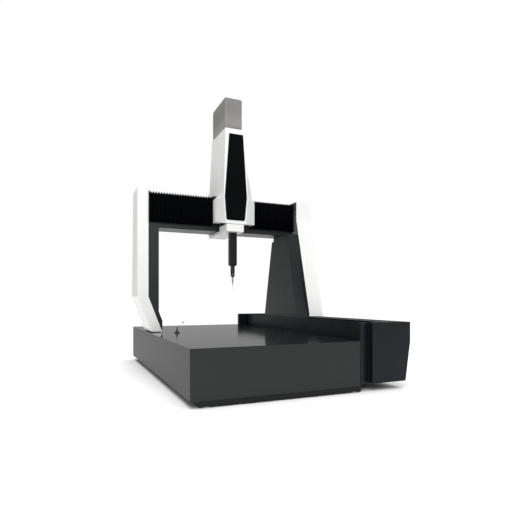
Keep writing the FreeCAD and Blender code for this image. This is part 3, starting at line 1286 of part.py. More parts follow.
# ---------------------------------------------------------------- ram, head and probe
def ram():
    """The square tube of the ram, closed below, its scale and the yoke on its top."""
    bar = slab("ram_bar", RAM_X, RAM_Y, (s.ram_bottom, s.ram_top))
    rounded(bar, "Z", s.ram_edge, kind="Chamfer")
    wall = s.ram_wall
    inner = rectangle((RAM_X[0] + wall, RAM_X[1] - wall), (RAM_Y[0] + wall, RAM_Y[1] - wall))
    pocket(bar, "XY", inner, s.ram_bottom + wall * 2, s.ram_top + wall)
    node("ram", bar)
    inset = s.ram_edge + s.scale_height / 2
    scale_y = (RAM_Y[1] - inset - s.scale_height / 2, RAM_Y[1] - inset + s.scale_height / 2)
    node("z_scale", block("z_scale", (RAM_X[0] - s.scale_sheet, RAM_X[0]), scale_y,
                          (s.ram_bottom + s.pad_thickness, s.ram_top)))
    left = s.balance_x - s.guide_pad
    right = s.belt_x + s.belt_width / 2
    arm_y = s.balance_y - s.balance_radius + s.cable_radius * 2
    clamp_y = s.belt_y - s.belt_radius - s.belt_sheet - s.air_gap - s.fit_gap
    clamp_x = s.mast_right + s.clamp_step
    points = [(left, RAM_Y[0] + s.ram_edge), (right, RAM_Y[0] + s.ram_edge), (right, clamp_y),
              (clamp_x, clamp_y), (clamp_x, arm_y), (left, arm_y)]
    yoke = make_body("yoke")
    pad(yoke, "XY", points, s.ram_top, s.ram_top + s.yoke_height)
    node("ram_yoke", yoke)


HEAD_TOP = s.ram_bottom
KNUCKLE_TOP = HEAD_TOP - s.head_height
KNUCKLE_BOTTOM = KNUCKLE_TOP - s.knuckle_height
TILT_Z = KNUCKLE_BOTTOM - s.fork_drop


def probe_head():
    """The motorised head: a block under the ram, a knuckle that turns and a holder that tilts."""
    x, y = s.ram_x, s.ram_y
    half = s.head_block / 2
    rim = s.head_flange / 2
    flange = block("head_flange", (x - rim, x + rim), (y - rim, y + rim),
                   (HEAD_TOP - s.guide_pad, HEAD_TOP))
    neck_z = (KNUCKLE_TOP, HEAD_TOP - s.guide_pad)
    neck = slab("head_neck", (x - half, x + half), (y - half, y + half), neck_z)
    rounded(neck, "Z", s.ram_edge)
    node("head_body", fused("head_body", [flange, neck]))
    drum = rod("drum", "Z", (x, y, KNUCKLE_BOTTOM), s.knuckle_radius, s.knuckle_height - s.air_gap)
    cheeks = []
    for low in (x - s.fork_gap / 2 - s.fork_cheek, x + s.fork_gap / 2):
        cheek = block("cheek", (low, low + s.fork_cheek), (y - s.barrel_radius, y + s.barrel_radius),
                      (TILT_Z, KNUCKLE_BOTTOM))
        round_end = rod("cheek_end", "X", (low, y, TILT_Z), s.barrel_radius, s.fork_cheek)
        cheeks += [cheek, round_end]
    bore = rod("pivot_bore", "X", (x - half * 2, y, TILT_Z), s.pivot_radius + s.fit_gap, s.head_block * 2)
    node("head_knuckle", bored("head_knuckle", fused("knuckle_blank", [drum] + cheeks), [bore]))
    side = s.fork_gap / 2 - s.air_gap
    axle = rod("axle", "X", (x - s.fork_gap / 2 - s.fork_cheek, y, TILT_Z), s.pivot_radius,
               s.fork_gap + s.fork_cheek * 2)
    hub = rod("hub", "X", (x - side, y, TILT_Z), s.barrel_radius, side * 2)
    socket = rod("socket", "Z", (x, y, TILT_Z - s.probe_top), s.barrel_radius - s.air_gap, s.probe_top)
    node("probe_holder", fused("probe_holder", [axle, hub, socket]))


def probe():
    """The probe body with its stylus module, and the stylus that it lets swing."""
    x, y = s.ram_x, s.ram_y
    low = TILT_Z - s.probe_top - s.probe_length
    module_low = low - s.module_length
    body = rod("probe_barrel", "Z", (x, y, low), s.probe_radius, s.probe_length)
    module = rod("module", "Z", (x, y, module_low), s.module_radius, s.module_length)
    node("probe_body", fused("probe_body", [body, module]))
    tip = module_low - s.stylus_length
    hub_low = module_low - s.air_gap - s.stylus_hub
    hub = rod("stylus_hub", "Z", (x, y, hub_low), s.stylus_hub / 2, s.stylus_hub)
    stem = rod("stem", "Z", (x, y, tip), s.stylus_radius, hub_low - tip)
    ruby = ball("ruby", (x, y, tip), s.stylus_ball)
    node("stylus", fused("stylus", [hub, stem, ruby]))


PIECES = [
    granite_table, table_inserts, base_frame, levelling_feet, reference_sphere,
    guide_way, guide_cover, guide_caps, guide_slot,
    bridge_shoe, bridge_air_bearings, y_drive, right_column, right_column_cover,
    left_column, left_column_cover, cross_beam, beam_bellows,
    carriage_frame, x_air_bearings, x_drive, carriage_housing, front_panel, underbeam_cover,
    carriage_rear_cover, z_column_cover, z_mast, ram_guides, z_drive, balance,
    ram, probe_head, probe,
]


def check_document():
    """Raise an error if any object or any finished piece is unsound."""
    for obj in DOC.Objects:
        if "Invalid" in obj.State or "Error" in obj.State:
            raise ValueError(f"{obj.Label} did not build: {obj.State}")
    for name, piece in NODES.items():
        if piece.Shape.isNull() or not piece.Shape.isValid() or not piece.Shape.Solids:
            raise ValueError(f"{name} is not a sound solid")


for make_piece in PIECES:
    make_piece()
DOC.recompute()
check_document()
os.makedirs("parts", exist_ok=True)
for node_name, finished in NODES.items():
    finished.Shape.exportStep(f"parts/{node_name}.step")
print(len(NODES), "nodes written")
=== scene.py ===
"""Dresses a gantry-type coordinate measuring machine around its fixed construction model."""

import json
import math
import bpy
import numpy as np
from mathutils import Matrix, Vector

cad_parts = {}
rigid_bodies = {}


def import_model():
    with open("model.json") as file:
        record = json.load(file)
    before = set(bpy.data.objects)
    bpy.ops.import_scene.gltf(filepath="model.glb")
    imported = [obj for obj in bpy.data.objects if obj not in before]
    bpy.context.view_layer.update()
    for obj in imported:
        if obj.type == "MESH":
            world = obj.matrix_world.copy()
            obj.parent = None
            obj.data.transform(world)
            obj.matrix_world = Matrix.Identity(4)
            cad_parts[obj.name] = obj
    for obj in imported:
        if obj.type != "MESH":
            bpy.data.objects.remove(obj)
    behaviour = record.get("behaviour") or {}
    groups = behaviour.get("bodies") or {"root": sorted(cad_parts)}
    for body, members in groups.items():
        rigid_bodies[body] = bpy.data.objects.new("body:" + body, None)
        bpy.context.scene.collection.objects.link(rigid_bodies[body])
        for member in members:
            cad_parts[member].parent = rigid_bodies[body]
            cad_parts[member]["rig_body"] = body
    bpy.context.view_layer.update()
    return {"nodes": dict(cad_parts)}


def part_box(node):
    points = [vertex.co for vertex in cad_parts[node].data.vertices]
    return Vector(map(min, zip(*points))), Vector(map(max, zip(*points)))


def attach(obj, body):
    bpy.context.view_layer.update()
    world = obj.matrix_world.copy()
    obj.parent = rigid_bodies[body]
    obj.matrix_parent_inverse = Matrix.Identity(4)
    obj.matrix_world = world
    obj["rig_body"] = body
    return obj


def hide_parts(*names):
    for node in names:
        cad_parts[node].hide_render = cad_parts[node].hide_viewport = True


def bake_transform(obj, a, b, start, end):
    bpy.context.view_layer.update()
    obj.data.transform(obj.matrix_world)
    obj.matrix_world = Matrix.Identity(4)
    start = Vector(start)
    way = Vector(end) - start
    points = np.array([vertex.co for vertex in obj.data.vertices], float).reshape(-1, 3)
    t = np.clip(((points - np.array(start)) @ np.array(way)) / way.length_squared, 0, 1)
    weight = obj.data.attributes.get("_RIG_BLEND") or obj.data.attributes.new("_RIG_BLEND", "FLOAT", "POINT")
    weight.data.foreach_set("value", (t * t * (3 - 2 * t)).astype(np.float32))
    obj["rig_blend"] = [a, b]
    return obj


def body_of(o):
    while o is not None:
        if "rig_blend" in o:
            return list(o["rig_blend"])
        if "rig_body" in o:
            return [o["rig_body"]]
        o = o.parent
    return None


bl_info = {
    "name": "Coordinate Measuring Machine",
    "version": (1, 0, 0),
    "blender": (4, 5, 0),
    "location": "View3D > Sidebar > Measuring Machine",
    "description": "Surfaces and finishes of a granite measuring machine with a travelling bridge",
    "category": "Add Mesh",
}

import bmesh
import bpy
import numpy as np

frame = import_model()
MM = 0.001

BEVEL_ANGLE = math.radians(28)
FLAT_ANGLE = math.radians(0.4)
NEAR_AXIS = 0.1

# Turned bodies as pairs of radius and height in millimetres. Their flat ends stop at NEAR_AXIS.
FITTING_PROFILE = ((NEAR_AXIS, 0), (11, 0), (11, 7), (6, 9), (6, 18), (10, 20), (10, 30), (6, 33), (6, 40), (9, 42),
                   (9, 52), (5, 56), (NEAR_AXIS, 56))
BOOT_PROFILE = ((NEAR_AXIS, 19), (9, 19), (9.5, 20), (10.5, 22), (9.8, 23), (12, 26), (11.2, 27), (13.5, 30),
                (13, 31), (15, 34), (NEAR_AXIS, 34))

# Millimetres from the tall cover's left side, the bellows' back and the bellows' top to the fitting's foot.
FITTING_PLACE = (-23, -85, 17)

# Millimetres from the knuckle's top down to the axis on which the probe tilts.
TILT_DROP = 76

# Each node of the probe head with its edge radius in millimetres and its finish.
HEAD_EDGES = (("head_body", 2.0, "head"), ("head_knuckle", 1.2, "head"), ("probe_holder", 0.8, "head"),
              ("probe_body", 0.6, "probe"))


# ---------------------------------------------------------------- shared tools
def low_high(node):
    """The lowest and the highest corner of a construction node, as two arrays in metres."""
    low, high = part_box(node)
    return np.array(low), np.array(high)


def linear(hex_colour):
    """An sRGB hex colour as linear red, green, blue and alpha."""
    channels = [int(hex_colour[start:start + 2], 16) / 255 for start in (1, 3, 5)]
    return tuple(c / 12.92 if c <= 0.04045 else ((c + 0.055) / 1.055) ** 2.4 for c in channels) + (1.0,)


def unit(vectors):
    """Each vector divided by its own length."""
    return vectors / np.maximum(np.linalg.norm(vectors, axis=-1, keepdims=True), 1e-12)


def grid_faces(rows, columns, round_columns=False):
    """Quads between neighbouring rows and columns of a grid of points, closed round the columns if asked."""
    row = np.arange(rows - 1)[:, None]
    column = np.arange(columns if round_columns else columns - 1)[None, :]
    following = (column + 1) % columns
    quads = [row * columns + column, row * columns + following,
             (row + 1) * columns + following, (row + 1) * columns + column]
    return np.stack(np.broadcast_arrays(*quads), axis=-1).reshape(-1, 4).tolist()


def rounded_outline(corners, radii, inset=0.0, steps=6):
    """A closed flat outline with round corners, moved inwards by inset.

    Each side moves along its inward normal. Each corner becomes the arc that touches both of its sides:
    it starts radius * tan(half the turn) before the corner and turns with the sides.
    """
    points = np.asarray(corners, float)
    inwards = points - np.roll(points, 1, axis=0)
    outwards = np.roll(points, -1, axis=0) - points
    first, second = unit(inwards), unit(outwards)
    turn = np.arctan2(first[:, 0] * second[:, 1] - first[:, 1] * second[:, 0], (first * second).sum(1))
    side = 1.0 if turn.sum() > 0 else -1.0
    normal_one = side * np.stack([-first[:, 1], first[:, 0]], axis=1)
    normal_two = side * np.stack([-second[:, 1], second[:, 0]], axis=1)
    shared = 1 + (normal_one * normal_two).sum(1)
    moved = points + inset * (normal_one + normal_two) / shared[:, None]
    radius = np.maximum(np.asarray(radii, float) - inset * np.sign(turn) * side, 1e-5)
    start = moved - (radius * np.tan(np.abs(turn) / 2))[:, None] * first
    centre = start + (np.sign(turn) * side * radius)[:, None] * normal_one
    angle = turn[:, None] * np.linspace(0, 1, steps + 1)[None, :]
    arm = (start - centre)[:, None, :]
    cosine, sine = np.cos(angle)[..., None], np.sin(angle)[..., None]
    swung = np.concatenate([arm[..., :1] * cosine - arm[..., 1:] * sine,
                            arm[..., :1] * sine + arm[..., 1:] * cosine], axis=-1)
    return (centre[:, None, :] + swung).reshape(-1, 2)


def placed(flat, level, axis):
    """A flat outline as 3-D points: its two columns lie across the axis, and level is the place along it."""
    filled = np.broadcast_to(np.asarray(level, float), flat.shape[:1])
    columns = {"X": (filled, flat[:, 0], flat[:, 1]), "Y": (flat[:, 0], filled, flat[:, 1]),
               "Z": (flat[:, 0], flat[:, 1], filled)}
    return np.stack(columns[axis], axis=-1)


def capped_stack(rings):
    """Points and faces of a closed body: a stack of closed rings with a flat face at each end."""
    rings = np.asarray(rings)
    rows, columns = rings.shape[:2]
    faces = grid_faces(rows, columns, round_columns=True)
    faces.append(list(range(columns))[::-1])
    faces.append(list(range((rows - 1) * columns, rows * columns)))
    return rings.reshape(-1, 3), faces


def edge_profile(low, high, edge, steps=4):
    """Pairs of inset and level that run up a body with a quarter-round edge at both of its ends."""
    angle = np.linspace(0, math.pi / 2, steps + 1)
    inset = edge * (1 - np.sin(angle))
    rise = edge * (1 - np.cos(angle))
    below = list(zip(inset, low + rise))
    above = list(zip(inset[::-1], high - rise[::-1]))
    return below + above


def tidy_mesh(mesh):
    """Merges doubled points and turns every face outwards."""
    work = bmesh.new()
    work.from_mesh(mesh)
    bmesh.ops.remove_doubles(work, verts=work.verts, dist=0.002 * MM)
    bmesh.ops.recalc_face_normals(work, faces=work.faces)
    work.to_mesh(mesh)
    work.free()


def add_piece(name, mesh, material, body, replaced=(), crease=30.0):
    """Links a finished mesh as a piece that rides on a body, with sharp edges only past the crease angle."""
    mesh.polygons.foreach_set("use_smooth", np.ones(len(mesh.polygons), bool))
    mesh.set_sharp_from_angle(angle=math.radians(crease))
    mesh.materials.clear()
    mesh.materials.append(material)
    piece = bpy.data.objects.new(name, mesh)
    bpy.context.scene.collection.objects.link(piece)
    if body:
        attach(piece, body)
    if replaced:
        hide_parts(*replaced)
    return piece


def keep_flats(piece):
    """Weights the shading by face size, so that large flat faces stay flat up to their rounded edges."""
    weighted = piece.modifiers.new("flat_faces", "WEIGHTED_NORMAL")
    weighted.keep_sharp = True


def surface_piece(name, points, faces, material, body, replaced=()):
    """A piece from points and faces."""
    mesh = bpy.data.meshes.new(name)
    mesh.from_pydata(np.asarray(points).tolist(), [], faces)
    tidy_mesh(mesh)
    piece = add_piece(name, mesh, material, body, replaced)
    keep_flats(piece)
    return piece


def softened(node, radius, material, segments=3):
    """A copy of a construction node with every sharp edge rounded to one radius, standing for the node."""
    mesh = frame["nodes"][node].data.copy()
    mesh.name = node + "_finished"
    work = bmesh.new()
    work.from_mesh(mesh)
    bmesh.ops.remove_doubles(work, verts=work.verts, dist=0.01 * MM)
    bmesh.ops.dissolve_limit(work, angle_limit=FLAT_ANGLE, verts=work.verts, edges=work.edges)
    work.to_mesh(mesh)
    work.free()
    body = body_of(frame["nodes"][node])[0]
    piece = add_piece(node + "_finished", mesh, material, body, (node,))
    bevel = piece.modifiers.new("rounded_edges", "BEVEL")
    bevel.width = radius
    bevel.segments = segments
    bevel.limit_method = "ANGLE"
    bevel.angle_limit = BEVEL_ANGLE
    bevel.miter_outer = "MITER_ARC"
    keep_flats(piece)
    return piece


def turned_points(profile, centre, around=32):
    """Rings of a turned body: each pair of radius and height of the profile is carried round an upright axis."""
    profile = np.asarray(profile, float)
    angle = np.linspace(0, 2 * math.pi, around, endpoint=False)
    circle = np.stack([np.cos(angle), np.sin(angle), np.zeros(around)], axis=-1)
    rise = np.array([0.0, 0.0, 1.0])
    return np.asarray(centre) + profile[:, :1, None] * circle + profile[:, 1:, None] * rise


def arc_profile(radius, level, start, end, steps=10):
    """Pairs of radius and height along an arc round a point on the axis, between two angles in degrees."""
    angle = np.radians(np.linspace(start, end, steps + 1))
    return list(zip(radius * np.cos(angle), level + radius * np.sin(angle)))


def quarter_round(level, top, radius):
    """How far a side has moved in at a level, where its upper edge is a quarter circle of one radius."""
    rise = np.clip(level - (top - radius), 0.0, radius)
    return radius - np.sqrt(radius ** 2 - rise ** 2)


def front_corners(node):
    """The corners of a flat plate's front face, as X and Z, in order round its middle."""
    vertices = frame["nodes"][node].data.vertices
    points = np.empty(len(vertices) * 3, np.float32)
    vertices.foreach_get("co", points)
    points = points.reshape(-1, 3).astype(float)
    front = points[points[:, 1] < points[:, 1].min() + 0.1 * MM]
    corners = np.unique(np.round(front[:, [0, 2]], 5), axis=0)
    arm = corners - corners.mean(0)
    return corners[np.argsort(np.arctan2(arm[:, 1], arm[:, 0]))]


# ---------------------------------------------------------------- materials
def add_node(tree, kind, settings=(), links=()):
    """Adds one shader node, sets its values and plugs other nodes' outputs into it."""
    node = tree.nodes.new(kind)
    for key, value in dict(settings).items():
        if key in node.inputs:
            node.inputs[key].default_value = value
        else:
            setattr(node, key, value)
    for key, output in dict(links).items():
        tree.links.new(output, node.inputs[key])
    return node


def new_material(name, settings):
    """An empty material with its principled shader and the object's own coordinates in metres."""
    material = bpy.data.materials.new(name)
    material.use_nodes = True
    tree = material.node_tree
    tree.nodes.clear()
    shader = add_node(tree, "ShaderNodeBsdfPrincipled", settings)
    add_node(tree, "ShaderNodeOutputMaterial", links={"Surface": shader.outputs["BSDF"]})
    place = add_node(tree, "ShaderNodeTexCoord").outputs["Object"]
    return material, tree, shader, place


def speckle(tree, place, size_mm, detail=2.0, stretch=None):
    """Noise whose lumps are about size_mm across, stretched if asked."""
    if stretch:
        place = add_node(tree, "ShaderNodeMapping", {"Scale": stretch}, {"Vector": place}).outputs["Vector"]
    return add_node(tree, "ShaderNodeTexNoise", {"Scale": 1000 / size_mm, "Detail": detail},
                    {"Vector": place}).outputs["Fac"]


def two_tone(tree, factor, dark, light, span=(0.3, 0.7)):
    """Runs from one colour to the other as the factor crosses the span."""
    ramp = add_node(tree, "ShaderNodeValToRGB", links={"Fac": factor})
    for element, place, colour in zip(ramp.color_ramp.elements, span, (dark, light)):
        element.position = place
        element.color = colour
    return ramp.outputs["Color"]


def spread(tree, factor, low, high):
    """Maps the middle of a noise onto a range of values."""
    return add_node(tree, "ShaderNodeMapRange", {"From Min": 0.3, "From Max": 0.7, "To Min": low, "To Max": high},
                    {"Value": factor}).outputs["Result"]


def relief(tree, shader, height, depth_mm, strength=0.5):
    """Lets a height pattern, depth_mm deep, tilt the surface's shading."""
    bump = add_node(tree, "ShaderNodeBump", {"Strength": strength, "Distance": depth_mm * MM}, {"Height": height})
    tree.links.new(bump.outputs["Normal"], shader.inputs["Normal"])


def shade(colour, factor):
    """A colour made darker or lighter."""
    return tuple(min(1.0, channel * factor) for channel in colour[:3]) + (1.0,)


def painted(name, colour, roughness, peel_mm, peel_depth_mm=0.05, variation=0.06, coat=0.0, gloss=0.5):
    """Sprayed paint: one colour with faint clouds, and the small waves of orange peel in its gloss."""
    material, tree, shader, place = new_material(
        name, {"Coat Weight": coat, "Coat Roughness": 0.1, "Specular IOR Level": gloss})
    clouds = speckle(tree, place, 420, 3.0)
    tone = two_tone(tree, clouds, shade(colour, 1 - variation), shade(colour, 1 + variation))
    tree.links.new(tone, shader.inputs["Base Color"])
    wear = speckle(tree, place, 60, 4.0)
    tree.links.new(spread(tree, wear, roughness * 0.88, roughness * 1.12), shader.inputs["Roughness"])
    relief(tree, shader, speckle(tree, place, peel_mm, 1.0), peel_depth_mm, strength=0.35)
    return material


def lapped_granite(name, colours, grain_mm=9):
    """Black granite, sawn and lapped: grains of a few millimetres in three greys, the top almost polished.

    The grains are drawn about three times their real size so that they still show from a few metres.
    """
    material, tree, shader, place = new_material(name, {"Specular IOR Level": 0.4})
    grains = add_node(tree, "ShaderNodeTexVoronoi", {"Scale": 1000 / grain_mm, "Randomness": 1.0}, {"Vector": place})
    dark = two_tone(tree, grains.outputs["Color"], shade(colours.granite, 0.72), shade(colours.granite, 1.30))
    veins = speckle(tree, place, 230, 5.0)
    cloud = two_tone(tree, veins, shade(colours.granite, 0.85), shade(colours.granite, 1.15))
    mix = add_node(tree, "ShaderNodeMixRGB", {"Fac": 0.5}, {"Color1": dark, "Color2": cloud})
    tree.links.new(mix.outputs["Color"], shader.inputs["Base Color"])
    normal = add_node(tree, "ShaderNodeNewGeometry").outputs["Normal"]
    upward = add_node(tree, "ShaderNodeSeparateXYZ", links={"Vector": normal}).outputs["Z"]
    sawn = add_node(tree, "ShaderNodeMapRange", {"From Min": 0.6, "From Max": 0.95, "To Min": 0.45, "To Max": 0.12},
                    {"Value": upward}).outputs["Result"]
    tree.links.new(sawn, shader.inputs["Roughness"])
    relief(tree, shader, grains.outputs["Distance"], depth_mm=0.01, strength=0.05)
    return material


def coated_cloth(name, colours, rib_mm=11.84):
    """Polyurethane-coated bellows cloth: a dull black skin over a ribbed weave, greyer along each fold.

    At scale 1 the wave texture repeats every twentieth of a full turn, so that share is divided by the rib.
    """
    material, tree, shader, _ = new_material(
        name, {"Sheen Weight": 0.01, "Sheen Roughness": 0.5, "Specular IOR Level": 0.06})
    uv = add_node(tree, "ShaderNodeUVMap", {"uv_map": "cloth"}).outputs["UV"]
    fold = add_node(tree, "ShaderNodeAttribute", {"attribute_name": "crest"}).outputs["Fac"]
    tone = two_tone(tree, fold, colours.cloth, shade(colours.cloth, 1.8), span=(0.90, 1.0))
    tree.links.new(tone, shader.inputs["Base Color"])
    threads = add_node(tree, "ShaderNodeTexWave", {"Scale": math.tau / 20 / (rib_mm * MM), "Distortion": 0.4},
                       {"Vector": uv})
    tree.links.new(spread(tree, threads.outputs["Fac"], 0.42, 0.55), shader.inputs["Roughness"])
    relief(tree, shader, threads.outputs["Fac"], depth_mm=0.15, strength=0.3)
    return material


def metal(name, colour, roughness, grain_mm, stretch, depth_mm=0.02):
    """Bare or anodised metal: fine lines along the way it was ground, drawn, or brushed."""
    material, tree, shader, place = new_material(name, {"Metallic": 1.0})
    lines = speckle(tree, place, grain_mm, 2.0, stretch)
    tone = two_tone(tree, lines, shade(colour, 0.88), shade(colour, 1.08))
    tree.links.new(tone, shader.inputs["Base Color"])
    tree.links.new(spread(tree, lines, roughness * 0.8, roughness * 1.25), shader.inputs["Roughness"])
    relief(tree, shader, lines, depth_mm, strength=0.2)
    return material


def grey_sheet(name, colours):
    """Stove-enamelled grey steel sheet: half gloss, with slow clouds of painted reflection in its colour, and a gentle
    waviness where the sheet isn't quite flat.
    """
    material, tree, shader, place = new_material(name, {"Metallic": 0.35})
    # These clouds lighten and darken the colour as painted reflections of the uneven sheet, and they also vary the
    # roughness.
    clouds = speckle(tree, place, 300, 2.0)
    tone = two_tone(tree, clouds, shade(colours.sheet, 0.93), shade(colours.sheet, 1.07))
    tree.links.new(tone, shader.inputs["Base Color"])
    tree.links.new(spread(tree, clouds, 0.30, 0.40), shader.inputs["Roughness"])
    relief(tree, shader, speckle(tree, place, 180, 1.0), depth_mm=0.6, strength=0.3)
    return material


def moulded(name, colour, roughness, grain_mm=3.0):
    """Moulded plastic, rubber or a hard-anodised shell: an even colour with a fine, even grain."""
    material, tree, shader, place = new_material(name, {})
    grain = speckle(tree, place, grain_mm, 2.0)
    tone = two_tone(tree, grain, shade(colour, 0.9), shade(colour, 1.12))
    tree.links.new(tone, shader.inputs["Base Color"])
    tree.links.new(spread(tree, grain, roughness * 0.9, roughness * 1.1), shader.inputs["Roughness"])
    relief(tree, shader, grain, depth_mm=0.05, strength=0.3)
    return material


def gloss_panel(name, colours):
    """Back-painted acrylic: a deep black with a hard, even gloss and a trace of waviness."""
    material, tree, shader, place = new_material(name, {"Specular IOR Level": 0.12})
    clouds = speckle(tree, place, 260, 2.0)
    tone = two_tone(tree, clouds, shade(colours.panel, 0.8), shade(colours.panel, 1.3))
    tree.links.new(tone, shader.inputs["Base Color"])
    tree.links.new(spread(tree, clouds, 0.12, 0.16), shader.inputs["Roughness"])
    return material


def polished_gem(name, colour, roughness):
    """A polished technical ceramic or ruby ball: smooth, hard, and a little uneven in tone."""
    material, tree, shader, place = new_material(name, {"Coat Weight": 0.5, "Coat Roughness": 0.03})
    clouds = speckle(tree, place, 5, 1.0)
    tree.links.new(two_tone(tree, clouds, shade(colour, 0.95), shade(colour, 1.05)), shader.inputs["Base Color"])
    tree.links.new(spread(tree, clouds, roughness, roughness * 1.3), shader.inputs["Roughness"])
    return material


def make_materials(colours):
    """Every finish of the machine, named for what the real one is."""
    long_x, long_y, long_z = (0.02, 1.0, 1.0), (1.0, 0.02, 1.0), (1.0, 1.0, 0.02)
    return {
        "granite": lapped_granite("lapped_black_granite", colours),
        "frame_paint": painted("textured_frame_enamel", colours.frame, roughness=0.55, peel_mm=5,
                               peel_depth_mm=0.15, gloss=0.25),
        "column_paint": painted("casting_paint", colours.column, roughness=0.42, peel_mm=9,
                                peel_depth_mm=0.10, variation=0.10, gloss=0.35),
        "white_paint": painted("white_two_pack_paint", colours.white, roughness=0.32, peel_mm=8,
                               peel_depth_mm=0.04, variation=0.012, coat=0.15),
        "cover_paint": painted("blue_black_powder_coat", colours.cover, roughness=0.45, peel_mm=6,
                               peel_depth_mm=0.06, gloss=0.2),
        "sheet": grey_sheet("grey_stove_enamel", colours),
        "panel": gloss_panel("black_acrylic", colours),
        "cloth": coated_cloth("coated_bellows_cloth", colours),
        "beam": painted("beam_paint", colours.beam, roughness=0.40, peel_mm=9, variation=0.08, gloss=0.3),
        "anodised": metal("anodised_aluminium", linear("#8d9092"), roughness=0.38, grain_mm=1.6, stretch=long_x),
        "ram": painted("ram_hard_coat", colours.ram, roughness=0.36, peel_mm=4, peel_depth_mm=0.02,
                       variation=0.08, gloss=0.25),
        "steel": metal("ground_steel", linear("#b9babb"), roughness=0.26, grain_mm=1.2, stretch=long_z),
        "band": metal("cold_rolled_steel_band", linear("#5d6266"), roughness=0.30, grain_mm=2.0,
                      stretch=long_y),
        "rubber": moulded("black_rubber", linear("#17181a"), roughness=0.75),
        "motor": painted("motor_enamel", linear("#15171a"), roughness=0.40, peel_mm=4),
        "probe": metal("brushed_stainless_steel", linear("#a9a9a6"), roughness=0.34, grain_mm=1.0,
                       stretch=long_z),
        "head": moulded("black_hard_anodised_shell", colours.head, roughness=0.38, grain_mm=1.5),
        "ceramic": polished_gem("zirconia", linear("#d9d6cd"), roughness=0.10),
        "ruby": polished_gem("ruby", linear("#9a1022"), roughness=0.06),
        "brush": moulded("nylon_bristles", linear("#101214"), roughness=0.9, grain_mm=2.0),
    }


NODE_FINISH = {
    "granite": ["granite_table", "y_guide_beam"],
    "frame_paint": ["base_frame"],
    "steel": ["levelling_feet", "table_inserts", "y_scale", "y_drive_bar", "y_drive_roller", "x_scale",
              "x_drive_bar", "x_drive_roller", "z_drive_pulley", "z_idler_pulley", "balance_pulley",
              "balance_cable", "z_scale"],
    "rubber": ["y_end_stops", "z_belt"],
    "band": ["guide_band"],
    "brush": ["slot_brushes"],
    "cover_paint": ["guide_cover", "guide_cover_nose", "guide_cover_rear_cap", "guide_inner_wall",
                    "bellows_end_frames", "carriage_bellows_frames"],
    "anodised": ["bridge_shoe", "bridge_air_bearings", "carriage_frame", "x_air_bearings", "z_mast",
                 "ram_guides", "ram_air_bearings", "balance_cylinder", "ram_yoke"],
    "beam": ["cross_beam"],
    "motor": ["y_motor", "y_read_head", "x_motor", "carriage_read_heads", "z_motor", "sphere_stand"],
    "column_paint": ["right_column", "left_column"],
    "white_paint": ["right_column_cover", "left_column_cover", "carriage_housing", "underbeam_cover",
                    "carriage_rear_cover"],
    "sheet": ["z_column_cover"],
    "panel": ["front_panel"],
    "cloth": ["bellows_left", "bellows_right"],
    "ram": ["ram"],
    "head": ["head_body", "head_knuckle", "probe_holder"],
    "probe": ["probe_body"],
    "ceramic": ["reference_sphere"],
}
FINISHES = {}


# ---------------------------------------------------------------- settings
class CmmColours(bpy.types.PropertyGroup):
    """The machine's colours."""

    granite: bpy.props.FloatVectorProperty(
        name="Granite", description="Black granite of the table", subtype="COLOR", size=4, default=linear("#131516"))
    frame: bpy.props.FloatVectorProperty(
        name="Base frame", description="Enamel of the steel frame", subtype="COLOR", size=4, default=linear("#121416"))
    column: bpy.props.FloatVectorProperty(
        name="Columns", description="Paint of both castings", subtype="COLOR", size=4, default=linear("#181c1e"))
    white: bpy.props.FloatVectorProperty(
        name="White covers", description="Paint of the moulded covers", subtype="COLOR", size=4,
        default=linear("#eeefed"))
    cover: bpy.props.FloatVectorProperty(
        name="Guide cover", description="Powder coat of the guide cover", subtype="COLOR", size=4,
        default=linear("#0d1218"))
    sheet: bpy.props.FloatVectorProperty(
        name="Z column cover", description="Enamel of the tall cover", subtype="COLOR", size=4,
        default=linear("#8c8b87"))
    panel: bpy.props.FloatVectorProperty(
        name="Front panel", description="Acrylic of the front panel", subtype="COLOR", size=4,
        default=linear("#020405"))
    cloth: bpy.props.FloatVectorProperty(
        name="Bellows", description="Coated cloth of the bellows", subtype="COLOR", size=4,
        default=linear("#020306"))
    beam: bpy.props.FloatVectorProperty(
        name="Cross beam", description="Paint of the beam", subtype="COLOR", size=4, default=linear("#212425"))
    ram: bpy.props.FloatVectorProperty(
        name="Ram", description="Hard coat of the ram", subtype="COLOR", size=4, default=linear("#151616"))
    head: bpy.props.FloatVectorProperty(
        name="Probe head", description="Shell of the head and the probe", subtype="COLOR", size=4,
        default=linear("#0e0f10"))


